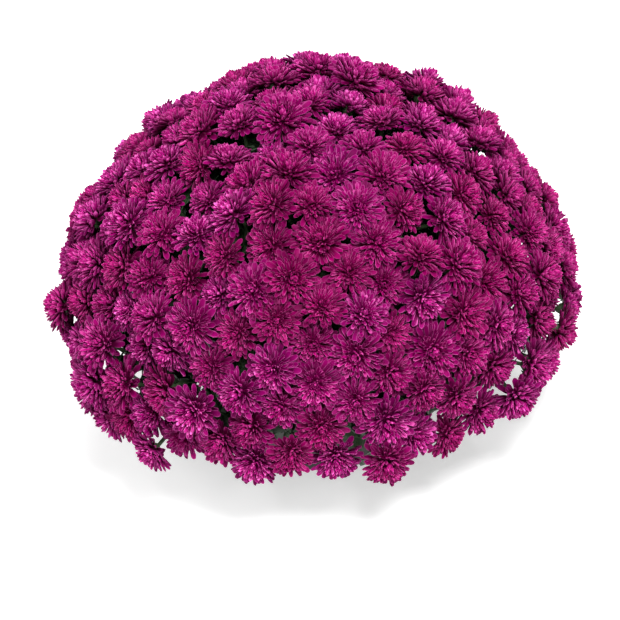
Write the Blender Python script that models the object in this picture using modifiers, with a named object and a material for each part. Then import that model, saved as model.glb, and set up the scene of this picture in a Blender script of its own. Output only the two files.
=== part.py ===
"""A pot chrysanthemum: five cuttings in one plain pot, pinched into a dome of double blooms.

Metres, +Z up, origin at the centre of the pot's flat base. The plant keeps a five-fold plan: each
cutting owns one sector of the dome and sends one, two, three and four branches to the four rings,
from the top of the dome down to its skirt. Each branch ends in a spray of blooms.
"""

import math
import random

import bmesh
import bpy
import numpy as np
from mathutils import Matrix, Vector

# Pot
POT_HEIGHT = 0.136
POT_RIM_RADIUS = 0.108
POT_BASE_RADIUS = 0.080
POT_WALL = 0.003
POT_RIM_HEIGHT = 0.018
POT_RIM_STEP = 0.003
POT_RIM_DRAFT = 0.001
POT_FOOT_ROUND = 0.002
POT_SIDES = 24
DRAIN_COUNT = 4
DRAIN_RADIUS = 0.005
DRAIN_CIRCLE = 0.058
DRAIN_SIDES = 8

# Soil, and the plain holes in which the cuttings stand
SOIL_TOP = 0.118
SOIL_CROWN = 0.004
SOIL_BROW = (0.62, 0.7)
HOLE_DEPTH = 0.040
HOLE_SIDES = 8
SEAT_GAP = 0.0003

# Dome of blooms: the surface on which the bloom centres lie
DOME_CENTRE = Vector((0.0, 0.0, 0.102))
DOME_RADIUS = 0.213
DOME_RISE = 0.210
DOME_EDGE_ANGLE = math.radians(92.0)
EDGE_SPREAD = 0.12
BLOOM_COUNT = 258
BLOOM_DEPTH = (-0.0036, 0.009)
BLOOM_TILT_SPREAD = math.radians(9.0)

# How the blooms settle apart: a first shake, the room each one wants and its push at each step,
# the first two in shares of their pitch
SHAKE = 0.22
ROOM = 1.20
PUSH = 0.22
SETTLE_STEPS = 45

# One bloom: its open radius, and shares of that radius out from its axis and up or down along it
BLOOM_RADIUS = (0.0205, 0.0260)
PETALS = 6
RIM_DROP = 0.08
VALLEY_SHARE = 0.68
VALLEY_DROP = 0.22
INNER_SHARE = 0.52
INNER_RISE = 0.36
EYE_RISE = 0.14
CALYX_DEPTH = 0.52
PEDICEL_RADIUS = 0.0017
PEDICEL_SIDES = 3
TWIST_TRIES = 5
NEIGHBOUR_GAP = 0.0004
NEIGHBOUR_REACH = 3.5

# Cuttings: the woody stem in the soil, its branches up the dome in rings, a spray on each branch
CUTTINGS = 5
RINGS = 4
CUTTING_CIRCLE = 0.044
STEM_RADIUS = 0.0048
STEM_TIP_SHARE = 0.70
STEM_TOP = 0.176
STEM_LEAN = 0.016
STEM_STRAIGHT = 0.006
BRANCH_RADIUS = 0.0022
BRANCH_TIP_SHARE = 0.80
BRANCH_LIFT = 0.030
SKIRT_LIFT = 0.045
BRANCH_REACH = 0.038
SKIRT_DROOP = 0.60
FORK_SHARE = 0.69
KNOT_LENGTH = 0.008
KNOT_FLARE = 1.25
KNOT_ROOT_SHARE = 0.35
KNOT_SIDES = 4

# Leaves: stations along the blade and half widths there, as shares of the length
LEAFY_RINGS = 3
LEAF_LENGTH = 0.060
SKIRT_LEAF_LENGTH = 0.078
LEAF_STALK_SHARE = 0.16
LEAF_OUTLINE = ((0.38, 0.28), (0.47, 0.15), (0.64, 0.30), (0.74, 0.13))
LEAF_RIB_STATIONS = (0.42, 0.70)
LEAF_STALK_HALF_WIDTH = 0.0014
LEAF_HALF_THICKNESS = 0.0007
LEAF_EDGE_LIFT = 0.18
LEAF_ARCH = 3.2
SKIRT_LEAF_LEAN = 0.22

UP = Vector((0.0, 0.0, 1.0))
GOLDEN_ANGLE = math.pi * (3.0 - math.sqrt(5.0))
SEED = 11


def clear_scene():
    for obj in list(bpy.data.objects):
        bpy.data.objects.remove(obj, do_unlink=True)


def new_collection(name):
    collection = bpy.data.collections.new(name)
    bpy.context.scene.collection.children.link(collection)
    return collection


def principled(name, colour, roughness):
    material = bpy.data.materials.new(name)
    material.use_nodes = True
    shader = material.node_tree.nodes["Principled BSDF"]
    shader.inputs["Base Color"].default_value = (*colour, 1.0)
    shader.inputs["Roughness"].default_value = roughness
    shader.inputs["Metallic"].default_value = 0.0
    return material


def object_of(name, mesh, collection, material=None):
    obj = bpy.data.objects.new(name, mesh)
    collection.objects.link(obj)
    if material:
        mesh.materials.clear()
        mesh.materials.append(material)
    return obj


def mesh_of(name, build):
    """A new mesh that build(bm) fills."""
    bm = bmesh.new()
    build(bm)
    bmesh.ops.recalc_face_normals(bm, faces=bm.faces)
    mesh = bpy.data.meshes.new(name)
    bm.to_mesh(mesh)
    bm.free()
    return mesh


def evaluated_mesh(obj):
    bpy.context.view_layer.update()
    graph = bpy.context.evaluated_depsgraph_get()
    return bpy.data.meshes.new_from_object(obj.evaluated_get(graph))


def remove(objects):
    for obj in objects:
        bpy.data.objects.remove(obj, do_unlink=True)


def islands_of(bm):
    """The faces of each closed surface in the mesh."""
    waiting = set(bm.faces)
    islands = []
    while waiting:
        found = [waiting.pop()]
        for face in found:
            touching = {other for edge in face.edges for other in edge.link_faces}
            found += touching & waiting
            waiting -= touching
        islands.append(found)
    return islands


def keep_outer_surface(mesh):
    """Fills any hollow that joining has sealed and drops any loose scrap, by their own surfaces."""
    bm = bmesh.new()
    bm.from_mesh(mesh)
    inner = sorted(islands_of(bm), key=len)[:-1]
    bmesh.ops.delete(bm, geom=[face for island in inner for face in island], context="FACES")
    bm.to_mesh(mesh)
    bm.free()


def combined(name, first, others, operation, collection, material):
    """One solid: the first object with the others joined to it, or cut from it."""
    helpers = new_collection(name + "_helpers")
    for other in others:
        for owner in list(other.users_collection):
            owner.objects.unlink(other)
        helpers.objects.link(other)
    boolean = first.modifiers.new(operation.lower(), "BOOLEAN")
    boolean.operand_type = "COLLECTION"
    boolean.collection = helpers
    boolean.operation = operation
    boolean.solver = "MANIFOLD"
    mesh = evaluated_mesh(first)
    mesh.name = name
    keep_outer_surface(mesh)
    remove([first, *others])
    bpy.data.collections.remove(helpers)
    return object_of(name, mesh, collection, material)


def turned(name, profile, steps, collection):
    """A solid of revolution. Its profile starts and ends on the axis and runs down the outside."""
    mesh = bpy.data.meshes.new(name)
    edges = [(i, i + 1) for i in range(len(profile) - 1)]
    mesh.from_pydata([(r, 0.0, z) for r, z in profile], edges, [])
    obj = object_of(name, mesh, collection)
    screw = obj.modifiers.new("turn", "SCREW")
    screw.steps = steps
    screw.render_steps = steps
    screw.use_merge_vertices = True
    screw.merge_threshold = 0.00005
    return obj


def cylinder(name, centre, radius, low, high, sides, collection):
    def build(bm):
        bmesh.ops.create_cone(
            bm, cap_ends=True, segments=sides, radius1=radius, radius2=radius, depth=high - low
        )
        bmesh.ops.translate(bm, verts=bm.verts, vec=(centre.x, centre.y, (low + high) / 2))

    return object_of(name, mesh_of(name, build), collection)


def around(radius, index, count, offset=0.5):
    """A point on a circle about the pot's axis, the given step round it."""
    angle = 2 * math.pi * (index + offset) / count
    return Vector((radius * math.cos(angle), radius * math.sin(angle), 0.0))


# Pot and soil


def pot_wall_radius(height):
    """Outer radius of the pot's tapered wall, below its rim."""
    top = POT_HEIGHT - POT_RIM_HEIGHT
    share = height / top
    return POT_BASE_RADIUS + (POT_RIM_RADIUS - POT_RIM_STEP - POT_BASE_RADIUS) * share


def make_pot(collection, material):
    shoulder = POT_HEIGHT - POT_RIM_HEIGHT
    profile = [
        (0.0, POT_WALL),
        (pot_wall_radius(POT_WALL) - POT_WALL, POT_WALL),
        (pot_wall_radius(shoulder) - POT_WALL, shoulder),
        (POT_RIM_RADIUS - POT_WALL, POT_HEIGHT),
        (POT_RIM_RADIUS, POT_HEIGHT),
        (POT_RIM_RADIUS - POT_RIM_DRAFT, shoulder),
        (pot_wall_radius(shoulder), shoulder),
        (pot_wall_radius(POT_FOOT_ROUND), POT_FOOT_ROUND),
        (POT_BASE_RADIUS - POT_FOOT_ROUND, 0.0),
        (0.0, 0.0),
    ]
    body = turned("pot", profile, POT_SIDES, collection)
    low, high = -POT_WALL, 2 * POT_WALL
    places = [around(DRAIN_CIRCLE, i, DRAIN_COUNT) for i in range(DRAIN_COUNT)]
    drains = [cylinder("drain", p, DRAIN_RADIUS, low, high, DRAIN_SIDES, collection) for p in places]
    pot = combined("pot", body, drains, "DIFFERENCE", collection, material)
    pot.data.shade_smooth()
    pot.data.set_sharp_from_angle(angle=math.radians(40.0))


def stem_foot(cutting):
    return around(CUTTING_CIRCLE, cutting, CUTTINGS)


def make_soil(collection, material):
    inside = POT_WALL + SEAT_GAP
    edge = SOIL_TOP - SOIL_CROWN
    floor = POT_WALL + SEAT_GAP
    brow_out, brow_up = SOIL_BROW
    profile = [
        (0.0, SOIL_TOP + SOIL_CROWN),
        (pot_wall_radius(edge) * brow_out, SOIL_TOP + SOIL_CROWN * brow_up),
        (pot_wall_radius(edge) - inside, edge),
        (pot_wall_radius(floor) - inside, floor),
        (0.0, floor),
    ]
    body = turned("soil", profile, POT_SIDES, collection)
    low = SOIL_TOP - HOLE_DEPTH - SEAT_GAP
    high = SOIL_TOP + 2 * SOIL_CROWN
    radius = (STEM_RADIUS + SEAT_GAP) / math.cos(math.pi / HOLE_SIDES)
    places = [stem_foot(i) for i in range(CUTTINGS)]
    holes = [cylinder("hole", p, radius, low, high, HOLE_SIDES, collection) for p in places]
    combined("soil", body, holes, "DIFFERENCE", collection, material)


# Where the blooms and the sprays are


def dome_point(direction, depth=0.0):
    """The point of the dome's surface in this direction from its centre, or that far inside it."""
    shape = (DOME_RADIUS, DOME_RADIUS, DOME_RISE)
    reach = Vector([a * b for a, b in zip(direction, shape)])
    return DOME_CENTRE + reach * (1.0 - depth / reach.length)


def dome_normal(direction):
    shape = (DOME_RADIUS, DOME_RADIUS, DOME_RISE)
    return Vector([a / b for a, b in zip(direction, shape)]).normalized()


def bloom_directions(draw):
    """Unit vectors spread evenly over the dome, but not in rows: a spiral, shaken and let settle."""
    edge = math.cos(DOME_EDGE_ANGLE)
    heights = 1.0 - (np.arange(BLOOM_COUNT) + 0.5) / BLOOM_COUNT * (1.0 - edge)
    angles = GOLDEN_ANGLE * np.arange(BLOOM_COUNT)
    rounds = np.sqrt(1.0 - heights**2)
    points = np.stack([rounds * np.cos(angles), rounds * np.sin(angles), heights], axis=1)
    lowest = np.array([edge + draw.uniform(0.0, EDGE_SPREAD) for _ in points])
    pitch = math.sqrt(2 * math.pi * (1.0 - edge) / BLOOM_COUNT)
    points += np.array([[draw.gauss(0.0, SHAKE * pitch) for _ in range(3)] for _ in points])
    for _ in range(SETTLE_STEPS):
        apart = points[:, None, :] - points[None, :, :]
        distance = np.linalg.norm(apart, axis=2) + np.eye(BLOOM_COUNT)
        push = np.clip(ROOM * pitch - distance, 0.0, None) * (1.0 - np.eye(BLOOM_COUNT))
        points += PUSH * (apart / distance[:, :, None] * push[:, :, None]).sum(axis=1)
        points /= np.linalg.norm(points, axis=1)[:, None]
        points[:, 2] = np.maximum(points[:, 2], lowest)
    return [Vector(p).normalized() for p in points]


def ring_polar(ring):
    """The angle from straight up of a ring of sprays; the rings share the dome's area out evenly."""
    before = CUTTINGS * ring * (ring - 1) / 2
    total = CUTTINGS * RINGS * (RINGS + 1) / 2
    edge = 1.0 - math.cos(DOME_EDGE_ANGLE)
    return math.acos(1.0 - edge * (before + CUTTINGS * ring / 2) / total)


def sector_direction(cutting, share, polar):
    """A unit vector in a cutting's sector, at this share of the way across it."""
    flat = around(math.sin(polar), cutting + share, CUTTINGS, 0.0)
    return Vector((flat.x, flat.y, math.cos(polar)))


class Spray:
    """One flowering branch: which cutting it grows on, its ring, its place there and its way out."""

    def __init__(self, cutting, ring, place):
        self.cutting = cutting
        self.ring = ring
        self.place = place
        self.direction = sector_direction(cutting, (place + 0.5) / ring, ring_polar(ring))
        self.on_skirt = ring == RINGS
        self.course = self.branch_course()
        self.fork = self.course[-1]
        self.along = (self.course[-1] - self.course[-2]).normalized()

    def stem_share(self):
        """How far up the stem the branch springs: the skirt's lowest, with neighbours kept apart."""
        above = self.ring * (self.ring - 1) // 2
        rank = (self.place * 2) % self.ring + (self.place * 2 // self.ring) * (self.ring % 2 == 0)
        total = RINGS * (RINGS + 1) // 2
        return 1.0 - (above + rank + 0.5) / total

    def branch_course(self):
        """Up from the stem, over the pot's rim where it has to, and out to the fork."""
        low, high = stem_upper(self.cutting)
        start = low.lerp(high, self.stem_share())
        arrival = self.direction - UP * (SKIRT_DROOP if self.on_skirt else 0.0)
        end = DOME_CENTRE + FORK_SHARE * DOME_RADIUS * self.direction
        lift = start + UP * (SKIRT_LIFT if self.on_skirt else BRANCH_LIFT)
        reach = end - arrival.normalized() * BRANCH_REACH
        steps = 3 if self.on_skirt else 2
        return [bezier(start, lift, reach, end, i / steps) for i in range(steps + 1)]


def bezier(start, lift, reach, end, t):
    s = 1.0 - t
    return s**3 * start + 3 * s * s * t * lift + 3 * s * t * t * reach + t**3 * end


def stem_upper(cutting):
    """The lowest and the highest point of the part of a stem that branches."""
    foot = stem_foot(cutting)
    low = foot + UP * (SOIL_TOP + STEM_STRAIGHT)
    return low, foot + foot.normalized() * STEM_LEAN + UP * STEM_TOP


def all_sprays():
    return [
        Spray(cutting, ring, place)
        for ring in range(1, RINGS + 1)
        for cutting in range(CUTTINGS)
        for place in range(ring)
    ]


# Blooms


class Bloom:
    """One double bloom: its centre, its axis and its open radius, and the blooms beside it."""

    def __init__(self, direction, draw):
        depth = draw.uniform(*BLOOM_DEPTH)
        normal = dome_normal(direction)
        turn = Matrix.Rotation(draw.uniform(0.0, 2 * math.pi), 3, normal)
        leaning = turn @ normal.orthogonal().normalized()
        tilt = Matrix.Rotation(draw.uniform(0.0, 1.0) * BLOOM_TILT_SPREAD, 3, leaning)
        self.centre = dome_point(direction, depth)
        self.axis = tilt @ normal
        self.side = self.axis.orthogonal().normalized()
        self.radius = draw.uniform(*BLOOM_RADIUS)
        self.twist = draw.uniform(0.0, 2 * math.pi)
        self.neighbours = []

    def at(self, share, angle, rise):
        """A point this share of the radius out from the axis, and this far above the rim."""
        flat = self.side * math.cos(angle) + self.axis.cross(self.side) * math.sin(angle)
        return self.centre + self.radius * (share * flat + rise * self.axis)

    def held(self, share, angle, rise):
        """The same point, pulled in to the centre until it is clear of every neighbour's half."""
        reach = self.at(share, angle, rise) - self.centre
        kept = 1.0
        for other in self.neighbours:
            half = (other.centre - self.centre) / 2
            limit = half.length - NEIGHBOUR_GAP
            away = reach.dot(half.normalized())
            if away * kept > limit:
                kept = limit / away
        return self.centre + reach * kept

    def find_neighbours(self, blooms):
        """Takes in the blooms near by, then turns so that the petal tips have the most room."""
        near = NEIGHBOUR_REACH * self.radius
        self.neighbours = [b for b in blooms if b is not self and (b.centre - self.centre).length < near]
        turn = 2 * math.pi / PETALS
        twists = [self.twist + turn * k / TWIST_TRIES for k in range(TWIST_TRIES)]

        def room(twist):
            tips = [self.held(1.0, twist + turn * i, -RIM_DROP) for i in range(PETALS)]
            return sum((tip - self.centre).length for tip in tips)

        self.twist = max(twists, key=room)


def make_bloom(bloom, root, collection):
    """A bloom as relief: a rim of petal tips, an inner rosette, a calyx and a pedicel to the root."""
    step = math.pi / PETALS

    def build(bm):
        rim = []
        inner = []
        for i in range(PETALS):
            tip = bloom.twist + 2 * step * i
            valley = tip + step
            rim.append(bm.verts.new(bloom.held(1.0, tip, -RIM_DROP)))
            rim.append(bm.verts.new(bloom.held(VALLEY_SHARE, valley, -VALLEY_DROP)))
            inner.append(bm.verts.new(bloom.held(INNER_SHARE, valley, INNER_RISE)))
        eye = bm.verts.new(bloom.held(0.0, 0.0, EYE_RISE))
        neck = [
            bm.verts.new(bloom.at(PEDICEL_RADIUS / bloom.radius, bloom.twist + turn, -CALYX_DEPTH))
            for turn in (2 * math.pi * i / PEDICEL_SIDES for i in range(PEDICEL_SIDES))
        ]
        foot = bm.verts.new(root)
        for i in range(PETALS):
            tip, valley = rim[2 * i], rim[2 * i + 1]
            next_tip = rim[(2 * i + 2) % (2 * PETALS)]
            before, here = inner[i - 1], inner[i]
            bm.faces.new((tip, valley, here))
            bm.faces.new((valley, next_tip, here))
            bm.faces.new((tip, here, before))
            bm.faces.new((before, here, eye))
        underside(bm, rim, neck)
        for i in range(PEDICEL_SIDES):
            bm.faces.new((neck[i], foot, neck[(i + 1) % PEDICEL_SIDES]))

    return object_of("bloom", mesh_of("bloom", build), collection)


def underside(bm, rim, neck):
    """Triangles from the rim down to the neck's few corners, each rim edge to its nearest one."""
    count, corners = len(rim), len(neck)

    def corner(i):
        return int((i + 0.5) * corners / count) % corners

    for i in range(count):
        following = (i + 1) % count
        here, after = corner(i), corner(following)
        bm.faces.new((rim[following], rim[i], neck[here]))
        if after != here:
            bm.faces.new((rim[following], neck[here], neck[after]))


def make_spray(number, spray, blooms, collection, material):
    """One spray: its blooms, their pedicels, and the knot at the branch's end that they spring from."""
    root = spray.fork + spray.along * KNOT_LENGTH * KNOT_ROOT_SHARE
    pieces = [make_bloom(bloom, root, collection) for bloom in blooms]
    combined(f"spray_{number:02d}", knot(spray, collection), pieces, "UNION", collection, material)


def knot(spray, collection):
    def build(bm):
        base = BRANCH_RADIUS * BRANCH_TIP_SHARE
        top = base * KNOT_FLARE
        bmesh.ops.create_cone(
            bm, cap_ends=True, segments=KNOT_SIDES, radius1=base, radius2=top, depth=KNOT_LENGTH
        )
        turn = spray.along.to_track_quat("Z", "Y").to_matrix().to_4x4()
        place = Matrix.Translation(spray.fork + spray.along * KNOT_LENGTH / 2) @ turn
        bmesh.ops.transform(bm, matrix=place, verts=bm.verts)

    return object_of("knot", mesh_of("knot", build), collection)


# Cuttings: stem, branches and leaves


def make_tube(name, points, radius, tip_share, resolution, collection):
    """A tube along the points that thins to its tip."""
    curve = bpy.data.curves.new(name, "CURVE")
    curve.dimensions = "3D"
    curve.bevel_depth = radius
    curve.bevel_resolution = resolution
    curve.use_fill_caps = True
    spline = curve.splines.new("POLY")
    spline.points.add(len(points) - 1)
    for i, point in enumerate(points):
        spline.points[i].co = (*point, 1.0)
        spline.points[i].radius = 1.0 - (1.0 - tip_share) * i / (len(points) - 1)
    tube = bpy.data.objects.new(name, curve)
    collection.objects.link(tube)
    mesh = evaluated_mesh(tube)
    remove([tube])

    def build(bm):
        bm.from_mesh(mesh)
        bmesh.ops.remove_doubles(bm, verts=bm.verts, dist=0.00001)

    return object_of(name, mesh_of(name, build), collection)


def make_leaf(base, along, face, length, collection):
    """A lobed blade on a stalk. It is thickest along the rib, thins to its edge and arches down."""
    along = along.normalized()
    across = face.cross(along).normalized()
    face = along.cross(across)

    def at(station, half_width, thickness):
        x = station * length
        lift = LEAF_EDGE_LIFT * abs(half_width) - LEAF_ARCH * x * x
        return base + x * along + half_width * across + (lift + thickness) * face

    def build(bm):
        root = bm.verts.new(at(0.0, 0.0, 0.0))
        tip = bm.verts.new(at(1.0, 0.0, 0.0))
        edges = []
        for hand in (1.0, -1.0):
            edge = [bm.verts.new(at(LEAF_STALK_SHARE, hand * LEAF_STALK_HALF_WIDTH, 0.0))]
            edge += [bm.verts.new(at(s, hand * w * length, 0.0)) for s, w in LEAF_OUTLINE]
            edges.append(edge)
        for way in (1.0, -1.0):
            low, high = [bm.verts.new(at(s, 0.0, way * LEAF_HALF_THICKNESS)) for s in LEAF_RIB_STATIONS]
            for stalk, lobe, notch, big_lobe, big_notch in edges:
                bm.faces.new((root, stalk, low))
                bm.faces.new((stalk, lobe, low))
                bm.faces.new((lobe, notch, low))
                bm.faces.new((low, notch, high))
                bm.faces.new((notch, big_lobe, high))
                bm.faces.new((big_lobe, big_notch, high))
                bm.faces.new((big_notch, tip, high))

    return object_of("leaf", mesh_of("leaf", build), collection)


def leaf_of(spray, collection):
    """A branch's large leaf: under the blooms between the next ring's branches, or hung on the skirt."""
    course = spray.course
    if spray.on_skirt:
        outward = Vector((spray.direction.x, spray.direction.y, 0.0)).normalized()
        base = course[-2].lerp(course[-1], 0.25)
        return make_leaf(base, outward * SKIRT_LEAF_LEAN - UP, -outward, SKIRT_LEAF_LENGTH, collection)
    base = course[1].lerp(course[2], 0.45)
    share = (spray.place + 1) / (spray.ring + 1)
    aim = sector_direction(spray.cutting, share, ring_polar(spray.ring + 1))
    outward = (base - DOME_CENTRE).normalized()
    along = aim - outward * aim.dot(outward)
    return make_leaf(base, along, outward, LEAF_LENGTH, collection)


def make_cutting(cutting, sprays, collection, material):
    """One cutting: the woody stem that stands in the soil, its branches and their leaves."""
    low, high = stem_upper(cutting)
    foot = stem_foot(cutting) + UP * (SOIL_TOP - HOLE_DEPTH)
    stem = make_tube("stem", [foot, low, high], STEM_RADIUS, STEM_TIP_SHARE, 1, collection)
    pieces = []
    for spray in sprays:
        if spray.cutting == cutting:
            course = spray.course[:-1] + [spray.fork - spray.along * SEAT_GAP]
            pieces.append(make_tube("branch", course, BRANCH_RADIUS, BRANCH_TIP_SHARE, 0, collection))
            if spray.ring >= LEAFY_RINGS:
                pieces.append(leaf_of(spray, collection))
    combined(f"cutting_{cutting + 1}", stem, pieces, "UNION", collection, material)


def nearest_spray(direction, sprays):
    return max(range(len(sprays)), key=lambda k: sprays[k].direction.dot(direction))


def main():
    clear_scene()
    plant = new_collection("pot_chrysanthemum")
    make_pot(plant, principled("pot_plastic", (0.045, 0.043, 0.042), 0.55))
    make_soil(plant, principled("potting_mix", (0.060, 0.038, 0.025), 0.95))

    sprays = all_sprays()
    foliage = principled("foliage", (0.045, 0.115, 0.035), 0.60)
    for cutting in range(CUTTINGS):
        make_cutting(cutting, sprays, plant, foliage)

    draw = random.Random(SEED)
    blooms = [Bloom(direction, draw) for direction in bloom_directions(draw)]
    petals = principled("petals", (0.480, 0.015, 0.210), 0.50)
    groups = {k: [] for k in range(len(sprays))}
    for bloom in blooms:
        bloom.find_neighbours(blooms)
        groups[nearest_spray((bloom.centre - DOME_CENTRE).normalized(), sprays)].append(bloom)
    for k, group in groups.items():
        make_spray(k + 1, sprays[k], group, plant, petals)


main()
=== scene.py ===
"""Looks of a pot chrysanthemum: double magenta blooms on leafy cuttings in one plain pot.

Metres, +Z up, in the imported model's frame. The branches and large leaves stand where the solids
have them, because the placement rule here repeats theirs, with the same seed and draws. So do the
blooms, apart from a nod and a shift of a few millimetres that each one has of its own.
"""

import enum
import logging
import math
import random
from dataclasses import dataclass, replace
from typing import Iterable, Iterator, Sequence

import bmesh
import bpy
import numpy as np
from mathutils import Matrix, Vector


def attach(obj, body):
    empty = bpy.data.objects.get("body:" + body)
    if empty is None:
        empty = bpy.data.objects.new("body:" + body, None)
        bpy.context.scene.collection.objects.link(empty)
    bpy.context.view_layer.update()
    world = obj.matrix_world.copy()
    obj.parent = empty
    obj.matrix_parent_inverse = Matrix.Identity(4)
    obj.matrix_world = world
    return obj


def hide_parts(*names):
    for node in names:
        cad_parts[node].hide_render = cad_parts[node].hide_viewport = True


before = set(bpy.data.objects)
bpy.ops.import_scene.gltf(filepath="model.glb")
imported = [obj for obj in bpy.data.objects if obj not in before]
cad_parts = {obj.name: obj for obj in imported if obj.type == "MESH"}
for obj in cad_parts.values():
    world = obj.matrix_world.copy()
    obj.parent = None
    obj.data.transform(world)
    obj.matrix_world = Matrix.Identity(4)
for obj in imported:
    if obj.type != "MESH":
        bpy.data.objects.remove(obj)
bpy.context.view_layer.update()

LOG = logging.getLogger("pot_chrysanthemum")
UV_MAP = "OFBake"
UP = Vector((0.0, 0.0, 1.0))
FULL_TURN = 2.0 * math.pi
GOLDEN_ANGLE = math.pi * (3.0 - math.sqrt(5.0))
SEED = 11

Colour = tuple[float, float, float]
Place = tuple[float, float, float]
Range = tuple[float, float]
Profile = tuple[tuple[float, float], ...]
Turn = tuple[float, float, float, float]


class Slot(enum.Enum):
    """The record's material slots."""

    PETALS = "petals"
    FOLIAGE = "foliage"
    SOIL = "potting_mix"
    POT = "pot_plastic"


# Node trees


class Term:
    """A value inside a node tree. Plain arithmetic on it adds Math nodes."""

    def __init__(self, nodes: "Nodes", socket: bpy.types.NodeSocket) -> None:
        """Holds the socket that gives the value."""
        self.nodes = nodes
        self.socket = socket

    def __add__(self, other: "Term | float") -> "Term":
        """The sum of the two."""
        return self.nodes.math("ADD", self, other)

    def __sub__(self, other: "Term | float") -> "Term":
        """The first less the second."""
        return self.nodes.math("SUBTRACT", self, other)

    def __rsub__(self, other: float) -> "Term":
        """The number less this value."""
        return self.nodes.math("SUBTRACT", other, self)

    def __mul__(self, other: "Term | float") -> "Term":
        """The product of the two."""
        return self.nodes.math("MULTIPLY", self, other)

    def __truediv__(self, other: "Term | float") -> "Term":
        """The first divided by the second."""
        return self.nodes.math("DIVIDE", self, other)

    def __pow__(self, other: "Term | float") -> "Term":
        """The first to the power of the second."""
        return self.nodes.math("POWER", self, other)

    __radd__ = __add__
    __rmul__ = __mul__


class Nodes:
    """A node tree under construction."""

    def __init__(self, tree: bpy.types.NodeTree) -> None:
        """Holds the tree that the calls add to."""
        self.tree = tree

    def feed(self, socket: bpy.types.NodeSocket, value: object) -> None:
        """Links a value to a socket, or sets it there if it is a plain one.

        Args:
            socket: where it goes.
            value: a term, or a plain value.
        """
        if isinstance(value, Term):
            self.tree.links.new(value.socket, socket)
        else:
            socket.default_value = value

    def add(self, kind: str, inputs: dict | None = None, **settings: object) -> bpy.types.Node:
        """Adds a node.

        Args:
            kind: Blender's name of the node.
            inputs: what its sockets get, by name or number.
            settings: its properties.

        Returns:
            The new node.
        """
        node = self.tree.nodes.new(kind)
        for name, value in settings.items():
            setattr(node, name, value)
        for key, value in (inputs or {}).items():
            self.feed(node.inputs[key], value)
        return node

    def term(
        self, kind: str, inputs: dict | None = None, output: int | str = 0, **settings: object
    ) -> Term:
        """Adds a node and gives one of its outputs, by name or number."""
        return Term(self, self.add(kind, inputs, **settings).outputs[output])

    def math(self, operation: str, *values: "Term | float") -> Term:
        """Adds a Math node for these values."""
        return self.term("ShaderNodeMath", dict(enumerate(values)), operation=operation)

    def ramp(self, value: Term, low: float, high: float, start: float = 0.0, end: float = 1.0) -> Term:
        """A smooth step from start to end as the value goes from low to high."""
        inputs = {0: value, 1: low, 2: high, 3: start, 4: end}
        return self.term("ShaderNodeMapRange", inputs, interpolation_type="SMOOTHSTEP")

    def vector(self, x: "Term | float", y: "Term | float", z: "Term | float" = 0.0) -> Term:
        """A vector from its parts."""
        return self.term("ShaderNodeCombineXYZ", {0: x, 1: y, 2: z})

    def parts(self, vector: Term) -> tuple[Term, Term, Term]:
        """The three parts of a vector."""
        node = self.add("ShaderNodeSeparateXYZ", {0: vector})
        return tuple(Term(self, output) for output in node.outputs)

    def noise(self, place: Term, scale: float, detail: float = 2.0, output: int = 0) -> Term:
        """Soft noise at this many cells a metre, as a number or, at output 1, a colour."""
        inputs = {"Vector": place, "Scale": scale, "Detail": detail}
        return self.term("ShaderNodeTexNoise", inputs, output)

    def blend(self, share: Term, first: "Term | Colour", second: "Term | Colour") -> Term:
        """The first colour turning to the second as the share goes from 0 to 1."""
        colours = [(*c, 1.0) if isinstance(c, tuple) else c for c in (first, second)]
        return self.term("ShaderNodeMix", {0: share, 6: colours[0], 7: colours[1]}, 2, data_type="RGBA")


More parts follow.
